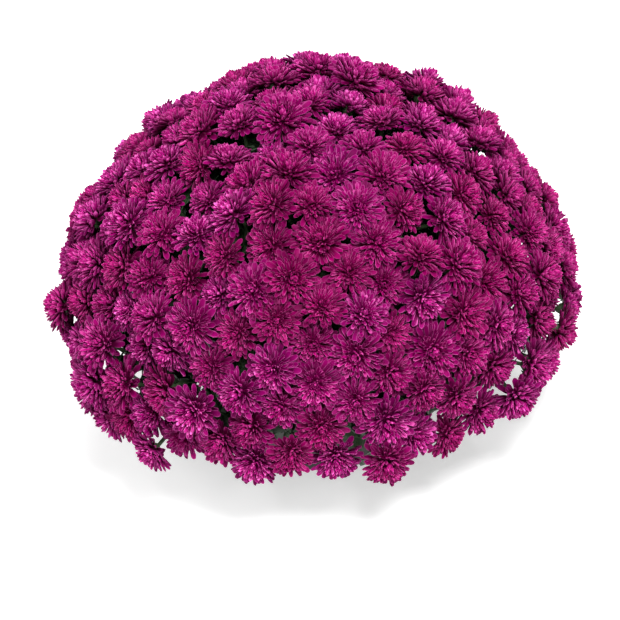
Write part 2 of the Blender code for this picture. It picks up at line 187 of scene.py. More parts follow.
class Recipe(Nodes):
    """A Geometry Nodes tree with named inputs, which ends in real faces in their material."""

    def __init__(self, name: str, **inputs: str) -> None:
        """Opens the tree, with Geometry, Seed and Material among its inputs.

        Args:
            name: the tree's name.
            inputs: the kind of each other input, such as Int or Float, by its name.
        """
        super().__init__(bpy.data.node_groups.new(name, "GeometryNodeTree"))
        panel = self.tree.interface
        panel.new_socket("Geometry", in_out="OUTPUT", socket_type="NodeSocketGeometry")
        self.identifiers: dict[str, str] = {}
        kinds = {"Geometry": "Geometry", **inputs, "Seed": "Int", "Material": "Material"}
        for title, kind in kinds.items():
            socket = panel.new_socket(title, in_out="INPUT", socket_type="NodeSocket" + kind)
            self.identifiers[title] = socket.identifier
        self.start = self.tree.nodes.new("NodeGroupInput")

    def given(self, title: str) -> Term:
        """What comes in at this input."""
        return Term(self, self.start.outputs[title])

    def attribute(self, name: str, kind: str = "FLOAT") -> Term:
        """A named attribute of the geometry."""
        return self.term("GeometryNodeInputNamedAttribute", {"Name": name}, data_type=kind)

    def store(self, geometry: Term, name: str, value: Term, kind: str, domain: str) -> Term:
        """The geometry with the value kept in a named attribute."""
        inputs = {"Geometry": geometry, "Name": name, "Value": value}
        return self.term("GeometryNodeStoreNamedAttribute", inputs, data_type=kind, domain=domain)

    def draw(self, low: float, high: float, salt: int) -> Term:
        """A random number for each element, from the tree's Seed and this salt."""
        seed = self.given("Seed") + float(salt)
        return self.term("FunctionNodeRandomValue", {2: low, 3: high, 8: seed}, 1, data_type="FLOAT")

    def shaken(self, reach: float, salt: int) -> Term:
        """A random number up to this far from 0 either way."""
        return self.draw(-reach, reach, salt)

    def turn(self, x: "Term | float", y: "Term | float", z: "Term | float") -> Term:
        """The turn by these angles about X, then Y, then Z."""
        return self.term("FunctionNodeEulerToRotation", {0: self.vector(x, y, z)})

    def about_axis(self, radius: Term, azimuth: Term, height: Term) -> Term:
        """As many points as Count says, at these places about the axis.

        Args:
            radius: how far each one is from the axis.
            azimuth: where round the axis it is.
            height: its height.

        Returns:
            The points.
        """
        x, y = (radius * self.math(part, azimuth) for part in ("COSINE", "SINE"))
        place = self.vector(x, y, height)
        return self.term("GeometryNodePoints", {"Count": self.given("Count"), "Position": place})

    def copies(self, points: Term, shelf: Term, kind: "Term | int", turn: Term, size: Term) -> Term:
        """Copies a collection's objects to points.

        Args:
            points: where the copies stand.
            shelf: the collection.
            kind: the number of the object that each point gets, in the order of their names.
            turn: each copy's turn.
            size: each copy's scale.

        Returns:
            The copies as instances.
        """
        info = {"Collection": shelf, "Separate Children": True, "Reset Children": True}
        return self.term("GeometryNodeInstanceOnPoints", {
            "Points": points,
            "Instance": self.term("GeometryNodeCollectionInfo", info),
            "Pick Instance": True,
            "Instance Index": kind,
            "Rotation": turn,
            "Scale": size,
        })

    def copies_as_told(self, points: Term, shelf: Term) -> Term:
        """Copies of the kind, turn and size that the points' attributes say."""
        turn, size = self.attribute("turn", "QUATERNION"), self.attribute("size")
        return self.copies(points, shelf, self.attribute("kind"), turn, size)

    def realised(self, instances: Term) -> Term:
        """The instances as real faces."""
        return self.term("GeometryNodeRealizeInstances", {"Geometry": instances})

    def joined(self, *parts: Term) -> Term:
        """The parts as one geometry.

        Args:
            parts: the geometries, in the order of their links.

        Returns:
            The whole.
        """
        join = self.add("GeometryNodeJoinGeometry")
        for part in parts:
            self.feed(join.inputs[0], part)
        return Term(self, join.outputs[0])

    def swayed(self, geometry: Term, cells: float) -> Term:
        """The geometry with its points moved at random by up to half its Sway, neighbours alike.

        Args:
            geometry: what is moved.
            cells: how many times a metre the way of the movement changes.

        Returns:
            The moved geometry.
        """
        place, amount = self.term("GeometryNodeInputPosition"), self.given("Sway")
        parts = self.parts(self.noise(place, cells, 1.0, 1))
        offset = self.vector(*((part - 0.5) * amount for part in parts))
        return self.term("GeometryNodeSetPosition", {"Geometry": geometry, "Offset": offset})

    def end(self, geometry: Term) -> None:
        """Ends the tree in real faces, in the Material that is given.

        Args:
            geometry: what it gives, as instances or faces.
        """
        inputs = {"Geometry": self.realised(geometry), "Material": self.given("Material")}
        dressed = self.term("GeometryNodeSetMaterial", inputs)
        self.feed(self.tree.nodes.new("NodeGroupOutput").inputs[0], dressed)

    def bake(
        self, host: bpy.types.Mesh, name: str, material: bpy.types.Material, seed: int = SEED,
        **values: object,
    ) -> bpy.types.Mesh:
        """Runs the tree on a mesh and keeps the result as a plain one.

        Args:
            host: the mesh that the tree reads.
            name: the new mesh's name.
            material: what its faces are made of.
            seed: where the tree's random draws start.
            values: the tree's other inputs, by name.

        Returns:
            The new mesh.
        """
        carrier = placed(name + "_host", host)
        modifier = carrier.modifiers.new(self.tree.name, "NODES")
        modifier.node_group = self.tree
        for title, value in {**values, "Seed": seed, "Material": material}.items():
            modifier[self.identifiers[title]] = value
        mesh = plain_mesh(carrier)
        mesh.name = name
        return mesh


# Meshes and pieces


def placed(
    name: str, data: bpy.types.ID, shelf: bpy.types.Collection | None = None
) -> bpy.types.Object:
    """Makes an object at the origin.

    Args:
        name: its name.
        data: its mesh, lamp or camera.
        shelf: the collection that takes it, or None for the scene's own.

    Returns:
        The new object.
    """
    obj = bpy.data.objects.new(name, data)
    home = bpy.context.scene.collection if shelf is None else shelf
    home.objects.link(obj)
    return obj


def shelf_of(name: str, meshes: Iterable[bpy.types.Mesh]) -> bpy.types.Collection:
    """Keeps shapes for trees to copy.

    Args:
        name: the collection's name.
        meshes: the shapes, whose names are in the order of their numbers.

    Returns:
        The collection, which is outside the scene.
    """
    shelf = bpy.data.collections.new(name)
    for mesh in meshes:
        placed(mesh.name, mesh, shelf)
    return shelf


def finished(name: str, mesh: bpy.types.Mesh, slot: Slot, nodes: Iterable[str]) -> None:
    """Puts a piece on the part: it rides on the root body and stands for its nodes.

    Args:
        name: the piece's name.
        mesh: its finished mesh.
        slot: the record's slot for its finish; not used.
        nodes: the CAD nodes that it stands for.
    """
    piece = placed(name, mesh)
    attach(piece, "root")
    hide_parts(*nodes)
    mesh.calc_loop_triangles()
    LOG.info("%s: %d triangles", name, len(mesh.loop_triangles))


def plain_mesh(host: bpy.types.Object) -> bpy.types.Mesh:
    """Makes an object's modifiers real.

    Args:
        host: the object, which is then removed with its modifiers.

    Returns:
        Its final mesh.
    """
    bpy.context.view_layer.update()
    graph = bpy.context.evaluated_depsgraph_get()
    shown = host.evaluated_get(graph)
    mesh = bpy.data.meshes.new_from_object(shown, preserve_all_data_layers=True, depsgraph=graph)
    bpy.data.objects.remove(host, do_unlink=True)
    return mesh


def mesh_of(name: str, bm: bmesh.types.BMesh, closed: bool = True) -> bpy.types.Mesh:
    """Ends a mesh under construction.

    Args:
        name: the mesh's name.
        bm: what was built.
        closed: whether it is a closed body, whose faces are then turned outward.

    Returns:
        The mesh.
    """
    if closed:
        bmesh.ops.recalc_face_normals(bm, faces=bm.faces)
    mesh = bpy.data.meshes.new(name)
    bm.to_mesh(mesh)
    bm.free()
    return mesh


def points_mesh(
    name: str, places: Sequence[Vector], edges: Sequence[tuple[int, int]] = (), **attributes: Sequence
) -> bpy.types.Mesh:
    """A mesh of points, for a tree to grow things on.

    Args:
        name: the mesh's name.
        places: where the points are.
        edges: pairs of points that a stalk joins.
        attributes: a list of numbers or of turns for each attribute, by its name.

    Returns:
        The mesh.
    """
    mesh = bpy.data.meshes.new(name)
    mesh.from_pydata([tuple(place) for place in places], list(edges), [])
    for title, values in attributes.items():
        numbers = np.array(values, dtype=np.float32)
        kind = "QUATERNION" if numbers.ndim == 2 else "FLOAT"
        mesh.attributes.new(title, kind, "POINT").data.foreach_set("value", numbers.ravel())
    return mesh


def around(radius: float, index: float, count: int, offset: float = 0.5) -> Vector:
    """A point on a circle about the pot's axis, the given step round it."""
    angle = FULL_TURN * (index + offset) / count
    return Vector((radius * math.cos(angle), radius * math.sin(angle), 0.0))


def aside(axis: Vector, angle: float) -> Vector:
    """A unit vector square to the axis, turned about it by this angle."""
    return Matrix.Rotation(angle, 3, axis) @ axis.orthogonal().normalized()


def turn_of(x_axis: Vector, z_axis: Vector) -> Turn:
    """The turn that brings +X to one axis and +Z near another.

    Args:
        x_axis: where +X comes to.
        z_axis: what +Z comes as near to as it can.

    Returns:
        The turn as (w, x, y, z).
    """
    x = x_axis.normalized()
    y = z_axis.cross(x).normalized()
    return tuple(Matrix((x, y, x.cross(y))).transposed().to_quaternion())


def bezier(start: Vector, lift: Vector, reach: Vector, end: Vector, steps: int) -> list[Vector]:
    """Points along a curve.

    Args:
        start: where it starts.
        lift: what it leaves the start towards.
        reach: what it comes to the end from.
        end: where it ends.
        steps: how many steps it has.

    Returns:
        Its points, one more than the steps.
    """
    points = []
    for i in range(steps + 1):
        t = i / steps
        s = 1.0 - t
        points.append(s**3 * start + 3 * s * s * t * lift + 3 * s * t * t * reach + t**3 * end)
    return points


def turned(name: str, profile: Sequence[tuple[float, float]], sides: int) -> bpy.types.Mesh:
    """A closed smooth body turned about +Z.

    Args:
        name: the mesh's name.
        profile: (radius, height) points that go round the section, and start and end on the axis.
        sides: how many sides it has.

    Returns:
        The mesh, with its faces outward.
    """
    bm = bmesh.new()
    poles = [bm.verts.new((0.0, 0.0, profile[i][1])) for i in (0, -1)]
    rings = []
    for radius, height in profile[1:-1]:
        spots = [around(radius, i, sides) + UP * height for i in range(sides)]
        rings.append([bm.verts.new(spot) for spot in spots])
    for i in range(sides):
        j = (i + 1) % sides
        bm.faces.new((poles[0], rings[0][i], rings[0][j]))
        bm.faces.new((poles[1], rings[-1][j], rings[-1][i]))
        for a, b in zip(rings, rings[1:]):
            bm.faces.new((a[i], b[i], b[j], a[j]))
    for face in bm.faces:
        face.smooth = True
    return mesh_of(name, bm)


class Blade:
    """A petal or leaf under construction: its points know their place on its own map."""

    def __init__(self) -> None:
        """Starts empty, with the map and the faces' atlas rows."""
        self.bm = bmesh.new()
        self.uv = self.bm.loops.layers.uv.new(UV_MAP)
        self.rows = self.bm.faces.layers.float.new("row")
        self.spots: dict[bmesh.types.BMVert, tuple[float, float]] = {}

    def vert(self, point: Vector, across: float, along: float) -> bmesh.types.BMVert:
        """Adds a point.

        Args:
            point: where it is.
            across: its place across the blade, from -1 to 1.
            along: its place along the blade, from 0 to 1.

        Returns:
            The new point.
        """
        made = self.bm.verts.new(point)
        self.spots[made] = (across / 2 + 0.5, along)
        return made

    def face(self, corners: Sequence[bmesh.types.BMVert], row: int) -> None:
        """Adds a smooth face.

        Args:
            corners: its points.
            row: its row on the atlas.
        """
        made = self.bm.faces.new(corners)
        made[self.rows] = row
        made.smooth = True
        for loop in made.loops:
            loop[self.uv].uv = self.spots[loop.vert]

    def crease(self, rim: Sequence[bmesh.types.BMVert]) -> None:
        """Keeps the edges along a rim sharp."""
        for a, b in zip(rim, rim[1:]):
            self.bm.edges.get((a, b)).smooth = False


@dataclass(frozen=True)
class Atlas:
    """A map shared by all copies of a petal or leaf: a column for each tone, a row for each kind."""

    columns: int
    rows: int
    inset: float = 0.06

    @property
    def share(self) -> float:
        """The share of a cell's side that the blade's own map takes up."""
        return 1.0 - 2.0 * self.inset

    def write(self, recipe: Recipe, geometry: Term, tone: Term) -> Term:
        """Moves each face's own map into its cell.

        Args:
            recipe: the tree that the nodes go to.
            geometry: real faces, with the attribute row and a map of their own.
            tone: from 0 to 1, which chooses the column.

        Returns:
            The geometry with its map on the atlas.
        """
        column = recipe.math("FLOOR", recipe.math("MINIMUM", tone, 0.999) * self.columns)
        row = recipe.attribute("row")
        u, v, _ = recipe.parts(recipe.attribute(UV_MAP, "FLOAT_VECTOR"))
        u = (column + u * self.share + self.inset) / self.columns
        v = (row + v * self.share + self.inset) / self.rows
        return recipe.store(geometry, UV_MAP, recipe.vector(u, v), "FLOAT2", "CORNER")

    def read(self, nodes: Nodes) -> tuple[Term, Term, Term, Term]:
        """Reads the map in a material.

        Args:
            nodes: the material's tree.

        Returns:
            The place across and along the blade, from 0 to 1, and the column and the row, from 0.
        """
        u, v, _ = nodes.parts(nodes.term("ShaderNodeUVMap", uv_map=UV_MAP))
        u, v = u * self.columns, v * self.rows
        across = (nodes.math("FRACT", u) - self.inset) / self.share
        along = (nodes.math("FRACT", v) - self.inset) / self.share
        return across, along, nodes.math("FLOOR", u), nodes.math("FLOOR", v)


# Finishes


class Finish:
    """A material under construction: a Principled shader and the nodes that feed it."""

    def __init__(self, name: str) -> None:
        """Opens a material with this name.

        Args:
            name: the material's name.
        """
        self.material = bpy.data.materials.new(name)
        self.material.use_nodes = True
        self.nodes = Nodes(self.material.node_tree)
        self.shader = self.material.node_tree.nodes["Principled BSDF"]

    def set(self, **values: object) -> None:
        """Sets or links the shader's sockets; an underscore stands for a space."""
        for name, value in values.items():
            self.nodes.feed(self.shader.inputs[name.replace("_", " ")], value)

    def bump(self, height: Term, strength: float, distance: float) -> None:
        """Gives the shader a fine relief from this height."""
        inputs = {"Strength": strength, "Distance": distance, "Height": height}
        self.set(Normal=self.nodes.term("ShaderNodeBump", inputs))

    def place(self) -> Term:
        """Object coordinates."""
        return self.nodes.term("ShaderNodeTexCoord", output="Object")


@dataclass(frozen=True)
class PetalFinish:
    """Magenta petals, duller behind, with painted shade on the claws and painted highlights on rims and
    tips.

    They are painted lighter towards the eye, against the shade that falls there.

    A column of the atlas is a bloom's age and, within it, a petal's own tone. A row is a kind of
    petal, from the rim to the eye, and within it the inner face and then the reverse.
    """

    atlas: Atlas
    tones: int
    face: Colour = (0.255, 0.0005, 0.102)
    # Painted shade: deep is the colour of the shaded claws, where the petals cover each other.
    deep: Colour = (0.085, 0.0003, 0.026)
    # Painted highlight: rim is the pale colour painted along the petals' edges and tips, and in their
    # glints.
    rim: Colour = (0.640, 0.125, 0.390)
    reverse: Colour = (0.240, 0.004, 0.100)
    # Along the petal, the painted shade of its claw fades out between these shares.
    claw_shade_ends: Range = (0.35, 0.92)
    # Where the painted highlights run: along the sides, from partway up, and round the tip.
    side_highlight: Range = (0.70, 0.92)
    side_highlight_starts: Range = (0.45, 0.75)
    tip_highlight: Range = (0.94, 0.99)
    # Painted glints: pale flecks painted near the tips of some inner petals.
    glint: Range = (0.74, 0.94)
    veins: float = 5.0
    vein_tint: float = 0.06
    # Which petals and which kinds of petal get painted glints.
    glinting_petals: Range = (0.6, 0.9)
    glinting_kinds: Range = (0.2, 0.7)
    # How much painted highlight the rims get: more on inner petals and on old blooms.
    highlight_share: float = 0.30
    highlight_inwards: float = 0.55
    highlight_with_age: float = 0.12
    # How strong the painted glints are: far stronger on old blooms.
    glint_share: float = 0.15
    glint_with_age: float = 0.60
    # How much painted shade the claws get: less on the inner kinds, and this much on the reverse.
    claw_shade_share: float = 0.95
    claw_shade_inwards: float = 0.40
    reverse_claw_shade: float = 0.85
    reverse_highlight: float = 0.7
    value: float = 0.58
    value_with_age: float = 0.06
    value_of_petal: float = 0.42
    # Painted light and shade: petals at the bloom's rim are painted duller, those towards the eye lighter,
    # against the shade there.
    painted_value_outside: float = 0.76
    painted_light_inwards: float = 0.95
    hue: float = 0.506
    hue_with_age: float = 0.014
    relief: Range = (0.15, 0.0003)
    roughness: float = 0.55
    gloss: float = 0.05

    def highlights(self, nodes: Nodes, off_rib: Term, along: Term, inwards: Term, age: Term, petal: Term) -> Term:
        """How much painted highlight the petal gets at its rim and tip, and in its glints.

        Args:
            nodes: the material's tree.
            off_rib: the distance from the midrib, 1 at the edge.
            along: the distance from the root, 1 at the tip.
            inwards: 0 on the outermost kind of petal and 1 on the innermost.
            age: 0 on the youngest blooms and 1 on the oldest.
            petal: the petal's own tone, from 0 to 1.

        Returns:
            The share of the pale colour painted there as highlight.
        """
        # Painted highlights along the petal's sides and round its tip.
        side = nodes.ramp(off_rib, *self.side_highlight) * nodes.ramp(along, *self.side_highlight_starts)
        edge = nodes.math("MAXIMUM", side, nodes.ramp(along, *self.tip_highlight))
        # Painted glints near the tips of a few inner petals, strongest on old blooms.
        glinting_few = nodes.ramp(petal, *self.glinting_petals) * nodes.ramp(inwards, *self.glinting_kinds)
        glint = glinting_few * nodes.ramp(along, *self.glint)
        highlight_amount = edge * (self.highlight_share + inwards * self.highlight_inwards + age * self.highlight_with_age)
        glint_share = glint * (self.glint_share + age * age * self.glint_with_age)
        return nodes.math("MAXIMUM", highlight_amount, glint_share)

    def material(self) -> bpy.types.Material:
        """Builds the material.

        Returns:
            The material.
        """
        finish = Finish("petals")
        n = finish.nodes
        across, along, column, row = self.atlas.read(n)
        ages = self.atlas.columns / self.tones
        # The small additions keep whole numbers from being rounded down.
        age = n.math("FLOOR", column / self.tones + 0.001) / (ages - 1)
        petal = n.math("MODULO", column + 0.01, self.tones) / (self.tones - 1)
        inwards = n.math("FLOOR", row / 2.0) / (self.atlas.rows / 2 - 1)
        off_rib = n.math("ABSOLUTE", across * 2.0 - 1.0)
        vein = n.math("SINE", across * (FULL_TURN * self.veins)) * 0.5 + 0.5
        # Painted shade: each petal is painted darker towards its root, where the other petals cover it.
        claw = 1.0 - n.ramp(along, *self.claw_shade_ends)
        edge = self.highlights(n, off_rib, along, inwards, age, petal)
        claw_shade_share = self.claw_shade_share - inwards * self.claw_shade_inwards
        depth = claw * claw_shade_share + vein * self.vein_tint - self.vein_tint / 2
        top = n.blend(edge, n.blend(depth, self.face, self.deep), self.rim)
        under = n.blend(claw * self.reverse_claw_shade + vein * self.vein_tint, self.reverse, self.deep)
        under = n.blend(edge * self.reverse_highlight, under, self.rim)
        value = self.value + age * self.value_with_age + petal * self.value_of_petal
        # Painted light: duller at the bloom's rim, lighter towards the eye, against the shade that falls
        # there.
        value = value * (self.painted_value_outside + inwards * self.painted_light_inwards)
        colour = n.term("ShaderNodeHueSaturation", {
            "Hue": self.hue - age * self.hue_with_age,
            "Value": value,
            "Color": n.blend(n.math("MODULO", row, 2.0), top, under),
        })
        finish.set(Base_Color=colour, Roughness=self.roughness, Specular_IOR_Level=self.gloss)
        finish.bump(vein, *self.relief)
        return finish.material


@dataclass(frozen=True)
class LeafFinish:
    """Dark green leaves, painted darker still as shade: paler veins above, and a greyer reverse."""

    atlas: Atlas
    # Painted shade: the leaves' dark green, painted darker still for the shade between the blooms.
    face: Colour = (0.012, 0.038, 0.010)
    dark: Colour = (0.005, 0.017, 0.005)
    vein: Colour = (0.034, 0.068, 0.022)
    reverse: Colour = (0.018, 0.037, 0.015)
    first_vein: float = 0.27
    vein_pitch: float = 0.12
    midrib: Range = (0.08, 0.02)
    side_vein: Range = (0.16, 0.04)
    side_vein_share: float = 0.7
    vein_share: float = 0.7
    reverse_vein_share: float = 0.5
    relief: Range = (0.5, 0.0005)
    roughness: float = 0.55
    gloss: float = 0.25

    def material(self) -> bpy.types.Material:
        """Builds the material.

        Returns:
            The material.
        """
        finish = Finish("foliage")
        n = finish.nodes
        across, along, column, row = self.atlas.read(n)
        off_rib = n.math("ABSOLUTE", across * 2.0 - 1.0)
        branch = n.math("FRACT", (along - self.first_vein) / self.vein_pitch + 0.5)
        off_branch = n.math("ABSOLUTE", branch - 0.5) * 2.0
        side_veins = n.ramp(off_branch, *self.side_vein) * self.side_vein_share
        line = n.math("MAXIMUM", n.ramp(off_rib, *self.midrib), side_veins)
        top = n.blend(column / (self.atlas.columns - 1), self.dark, self.face)
        top = n.blend(line * self.vein_share, top, self.vein)
        under = n.blend(line * self.reverse_vein_share, self.reverse, self.vein)
        colour = n.blend(row, top, under)
        finish.set(Base_Color=colour, Roughness=self.roughness, Specular_IOR_Level=self.gloss)
        finish.bump(1.0 - line, *self.relief)
        return finish.material


@dataclass(frozen=True)
class StemFinish:
    """Green stalks that turn brown where the attribute woody says so."""

    green: Colour = (0.022, 0.048, 0.013)
    wood: Colour = (0.120, 0.075, 0.040)
    grain: Colour = (0.024, 0.032, 0.014)
    cells: float = 900.0
    ageing: Range = (0.15, 0.75)
    patchiness: float = 0.3
    grain_share: float = 0.5
    relief: Range = (0.5, 0.0004)
    roughness: float = 0.7

    def material(self) -> bpy.types.Material:
        """Builds the material.

        Returns:
            The material.
        """
        finish = Finish("stalks")
        n = finish.nodes
        grain = n.noise(finish.place(), self.cells, 3.0)
        woody = n.term("ShaderNodeAttribute", output="Fac", attribute_name="woody")
        age = n.ramp(woody + (grain - 0.5) * self.patchiness, *self.ageing)
        colour = n.blend(grain * self.grain_share, n.blend(age, self.green, self.wood), self.grain)
        finish.set(Base_Color=colour, Roughness=self.roughness)
        finish.bump(grain, *self.relief)
        return finish.material


@dataclass(frozen=True)
class SoilFinish:
    """Damp potting mix: dark fibres with paler grit."""

    dark: Colour = (0.020, 0.012, 0.008)
    light: Colour = (0.075, 0.045, 0.028)
    cells: float = 450.0
    grit: Range = (0.35, 0.70)
    relief: Range = (0.9, 0.0015)
    roughness: float = 0.95

    def material(self) -> bpy.types.Material:
        """Builds the material.

        Returns:
            The material.
        """
        finish = Finish("potting_mix")
        n = finish.nodes
        lumps = n.noise(finish.place(), self.cells, 6.0)
        colour = n.blend(n.ramp(lumps, *self.grit), self.dark, self.light)
        finish.set(Base_Color=colour, Roughness=self.roughness)
        finish.bump(lumps, *self.relief)
        return finish.material


@dataclass(frozen=True)
class PotFinish:
    """Black moulded plastic, faintly grained, with a trace of dust low on the wall."""

    plastic: Colour = (0.030, 0.029, 0.028)
    dust: Colour = (0.110, 0.095, 0.080)
    grain_cells: float = 1400.0
    smear_cells: float = 22.0
    smears: Range = (0.45, 0.80)
    dust_height: float = 0.060
    dust_share: Range = (0.05, 0.5)
    relief: Range = (0.25, 0.0003)
    roughness: float = 0.42
    smear_roughness: float = 0.25

    def material(self) -> bpy.types.Material:
        """Builds the material.

        Returns:
            The material.
        """
        finish = Finish("pot_plastic")
        n = finish.nodes
        place = finish.place()
        _, _, height = n.parts(place)
        grain = n.noise(place, self.grain_cells, 2.0)
        smear = n.noise(place, self.smear_cells, 4.0)
        dusty = n.ramp(smear, *self.smears) * n.ramp(height, self.dust_height, 0.0, *self.dust_share)
        colour = n.blend(dusty, self.plastic, self.dust)
        finish.set(Base_Color=colour, Roughness=self.roughness + smear * self.smear_roughness)
        finish.bump(grain, *self.relief)
        return finish.material


# Where everything is: the solids' placement rule


@dataclass(frozen=True)
class Dome:
    """The dome of blooms, and how they settle apart on it."""

    height: float = 0.102
    radius: float = 0.213
    rise: float = 0.210
    edge_angle: float = math.radians(92.0)
    edge_spread: float = 0.12
    count: int = 258
    shake: float = 0.22
    room: float = 1.20
    push: float = 0.22
    steps: int = 45

    @property
    def centre(self) -> Vector:
        """The dome's centre."""
        return UP * self.height

    @property
    def axes(self) -> tuple[float, float, float]:
        """The dome's half axes."""
        return self.radius, self.radius, self.rise

    def point(self, direction: Vector, depth: float) -> Vector:
        """The point of the dome in this direction from its centre, that far inside its surface."""
        reach = Vector([a * b for a, b in zip(direction, self.axes)])
        return self.centre + reach * (1.0 - depth / reach.length)

    def normal(self, direction: Vector) -> Vector:
        """The way out of the dome there."""
        return Vector([a / b for a, b in zip(direction, self.axes)]).normalized()

    def directions(self, draw: random.Random) -> list[Vector]:
        """Spreads the blooms evenly over the dome: a spiral, shaken and let settle.

        Args:
            draw: the source of the random numbers.

        Returns:
            A unit vector from the dome's centre for each bloom.
        """
        edge = math.cos(self.edge_angle)
        heights = 1.0 - (np.arange(self.count) + 0.5) / self.count * (1.0 - edge)
        angles = GOLDEN_ANGLE * np.arange(self.count)
        rounds = np.sqrt(1.0 - heights**2)
        points = np.stack([rounds * np.cos(angles), rounds * np.sin(angles), heights], axis=1)
        lowest = np.array([edge + draw.uniform(0.0, self.edge_spread) for _ in points])
        pitch = math.sqrt(FULL_TURN * (1.0 - edge) / self.count)
        points += np.array([[draw.gauss(0.0, self.shake * pitch) for _ in range(3)] for _ in points])
        for _ in range(self.steps):
            apart = points[:, None, :] - points[None, :, :]
            distance = np.linalg.norm(apart, axis=2) + np.eye(self.count)
            push = np.clip(self.room * pitch - distance, 0.0, None) * (1.0 - np.eye(self.count))
            points += self.push * (apart / distance[:, :, None] * push[:, :, None]).sum(axis=1)
            points /= np.linalg.norm(points, axis=1)[:, None]
            points[:, 2] = np.maximum(points[:, 2], lowest)
        return [Vector(p).normalized() for p in points]


@dataclass(frozen=True)
class Habit:
    """How the five cuttings stand and branch, ring by ring, up to the sprays."""

    dome: Dome
    cuttings: int = 5
    rings: int = 4
    circle: float = 0.044
    soil_top: float = 0.118
    hole_depth: float = 0.040
    stem_top: float = 0.176
    stem_lean: float = 0.016
    stem_straight: float = 0.006
    branch_lift: float = 0.030
    skirt_lift: float = 0.045
    branch_reach: float = 0.038
    skirt_droop: float = 0.60
    fork_share: float = 0.69
    knot_length: float = 0.008
    knot_root_share: float = 0.35
    calyx_depth: float = 0.52
    pedicel_pull: float = 0.32
    knot_pull: float = 0.5
    pedicel_steps: int = 7

    def foot(self, cutting: int) -> Vector:
        """Where a cutting enters the soil, at height 0."""
        return around(self.circle, cutting, self.cuttings)

    def stem_upper(self, cutting: int) -> tuple[Vector, Vector]:
        """The lowest and the highest point of the part of a stem that branches.

        Args:
            cutting: its number, from 0.

        Returns:
            The two points.
        """
        foot = self.foot(cutting)
        low = foot + UP * (self.soil_top + self.stem_straight)
        return low, foot + foot.normalized() * self.stem_lean + UP * self.stem_top

    def polar(self, ring: int) -> float:
        """The angle from straight up of a ring of sprays, whose rings share the dome out evenly.

        Args:
            ring: its number, from 1 at the top.

        Returns:
            The angle of its middle.
        """
        before = self.cuttings * ring * (ring - 1) / 2
        total = self.cuttings * self.rings * (self.rings + 1) / 2
        edge = 1.0 - math.cos(self.dome.edge_angle)
        return math.acos(1.0 - edge * (before + self.cuttings * ring / 2) / total)

    def sector(self, cutting: int, share: float, polar: float) -> Vector:
        """A unit vector in a cutting's sector, at this share of the way across it."""
        flat = around(math.sin(polar), cutting + share, self.cuttings, 0.0)
        return Vector((flat.x, flat.y, math.cos(polar)))

    def sprays(self) -> list["Spray"]:
        """All sprays, in the order of the solids.

        Returns:
            Them, from the top ring down.
        """
        return [
            Spray(self, cutting, ring, place)
            for ring in range(1, self.rings + 1)
            for cutting in range(self.cuttings)
            for place in range(ring)
        ]


@dataclass(frozen=True)
class Spray:
    """One flowering branch: which cutting it grows on, its ring and its place there."""

    habit: Habit
    cutting: int
    ring: int
    place: int

    @property
    def on_skirt(self) -> bool:
        """Whether it hangs at the dome's edge."""
        return self.ring == self.habit.rings

    @property
    def direction(self) -> Vector:
        """The way from the dome's centre to the spray."""
        return self.habit.sector(self.cutting, (self.place + 0.5) / self.ring, self.habit.polar(self.ring))

    def stem_share(self) -> float:
        """How far up the stem the branch springs.

        Returns:
            0 at the lowest point that branches, and 1 at the highest.
        """
        above = self.ring * (self.ring - 1) // 2
        rank = (self.place * 2) % self.ring + (self.place * 2 // self.ring) * (self.ring % 2 == 0)
        total = self.habit.rings * (self.habit.rings + 1) // 2
        return 1.0 - (above + rank + 0.5) / total

    def course(self, steps: int) -> list[Vector]:
        """The branch from the stem to its fork, in this many steps.

        Args:
            steps: how many steps it has.

        Returns:
            Its points.
        """
        habit = self.habit
        low, high = habit.stem_upper(self.cutting)
        start = low.lerp(high, self.stem_share())
        arrival = self.direction - UP * (habit.skirt_droop if self.on_skirt else 0.0)
        end = habit.dome.centre + habit.fork_share * habit.dome.radius * self.direction
        lift = start + UP * (habit.skirt_lift if self.on_skirt else habit.branch_lift)
        return bezier(start, lift, end - arrival.normalized() * habit.branch_reach, end, steps)

    def knees(self) -> list[Vector]:
        """The few points of the branch that the solids have."""
        return self.course(3 if self.on_skirt else 2)

    def knot(self, share: float) -> Vector:
        """The point past the fork at this share of the knot's length."""
        before, fork = self.knees()[-2:]
        return fork + (fork - before).normalized() * self.habit.knot_length * share

    def pedicel(self, bloom: "Bloom") -> list[Vector]:
        """The course of a bloom's pedicel, from the knot to under its calyx.

        Args:
            bloom: the bloom at its tip.

        Returns:
            Its points.
        """
        before, fork = self.knees()[-2:]
        root = self.knot(self.habit.knot_root_share)
        neck = bloom.centre - self.habit.calyx_depth * bloom.radius * bloom.axis
        pull = (neck - root).length * self.habit.pedicel_pull
        lift = root + (fork - before).normalized() * pull * self.habit.knot_pull
        return bezier(root, lift, neck - bloom.axis * pull, neck, self.habit.pedicel_steps)


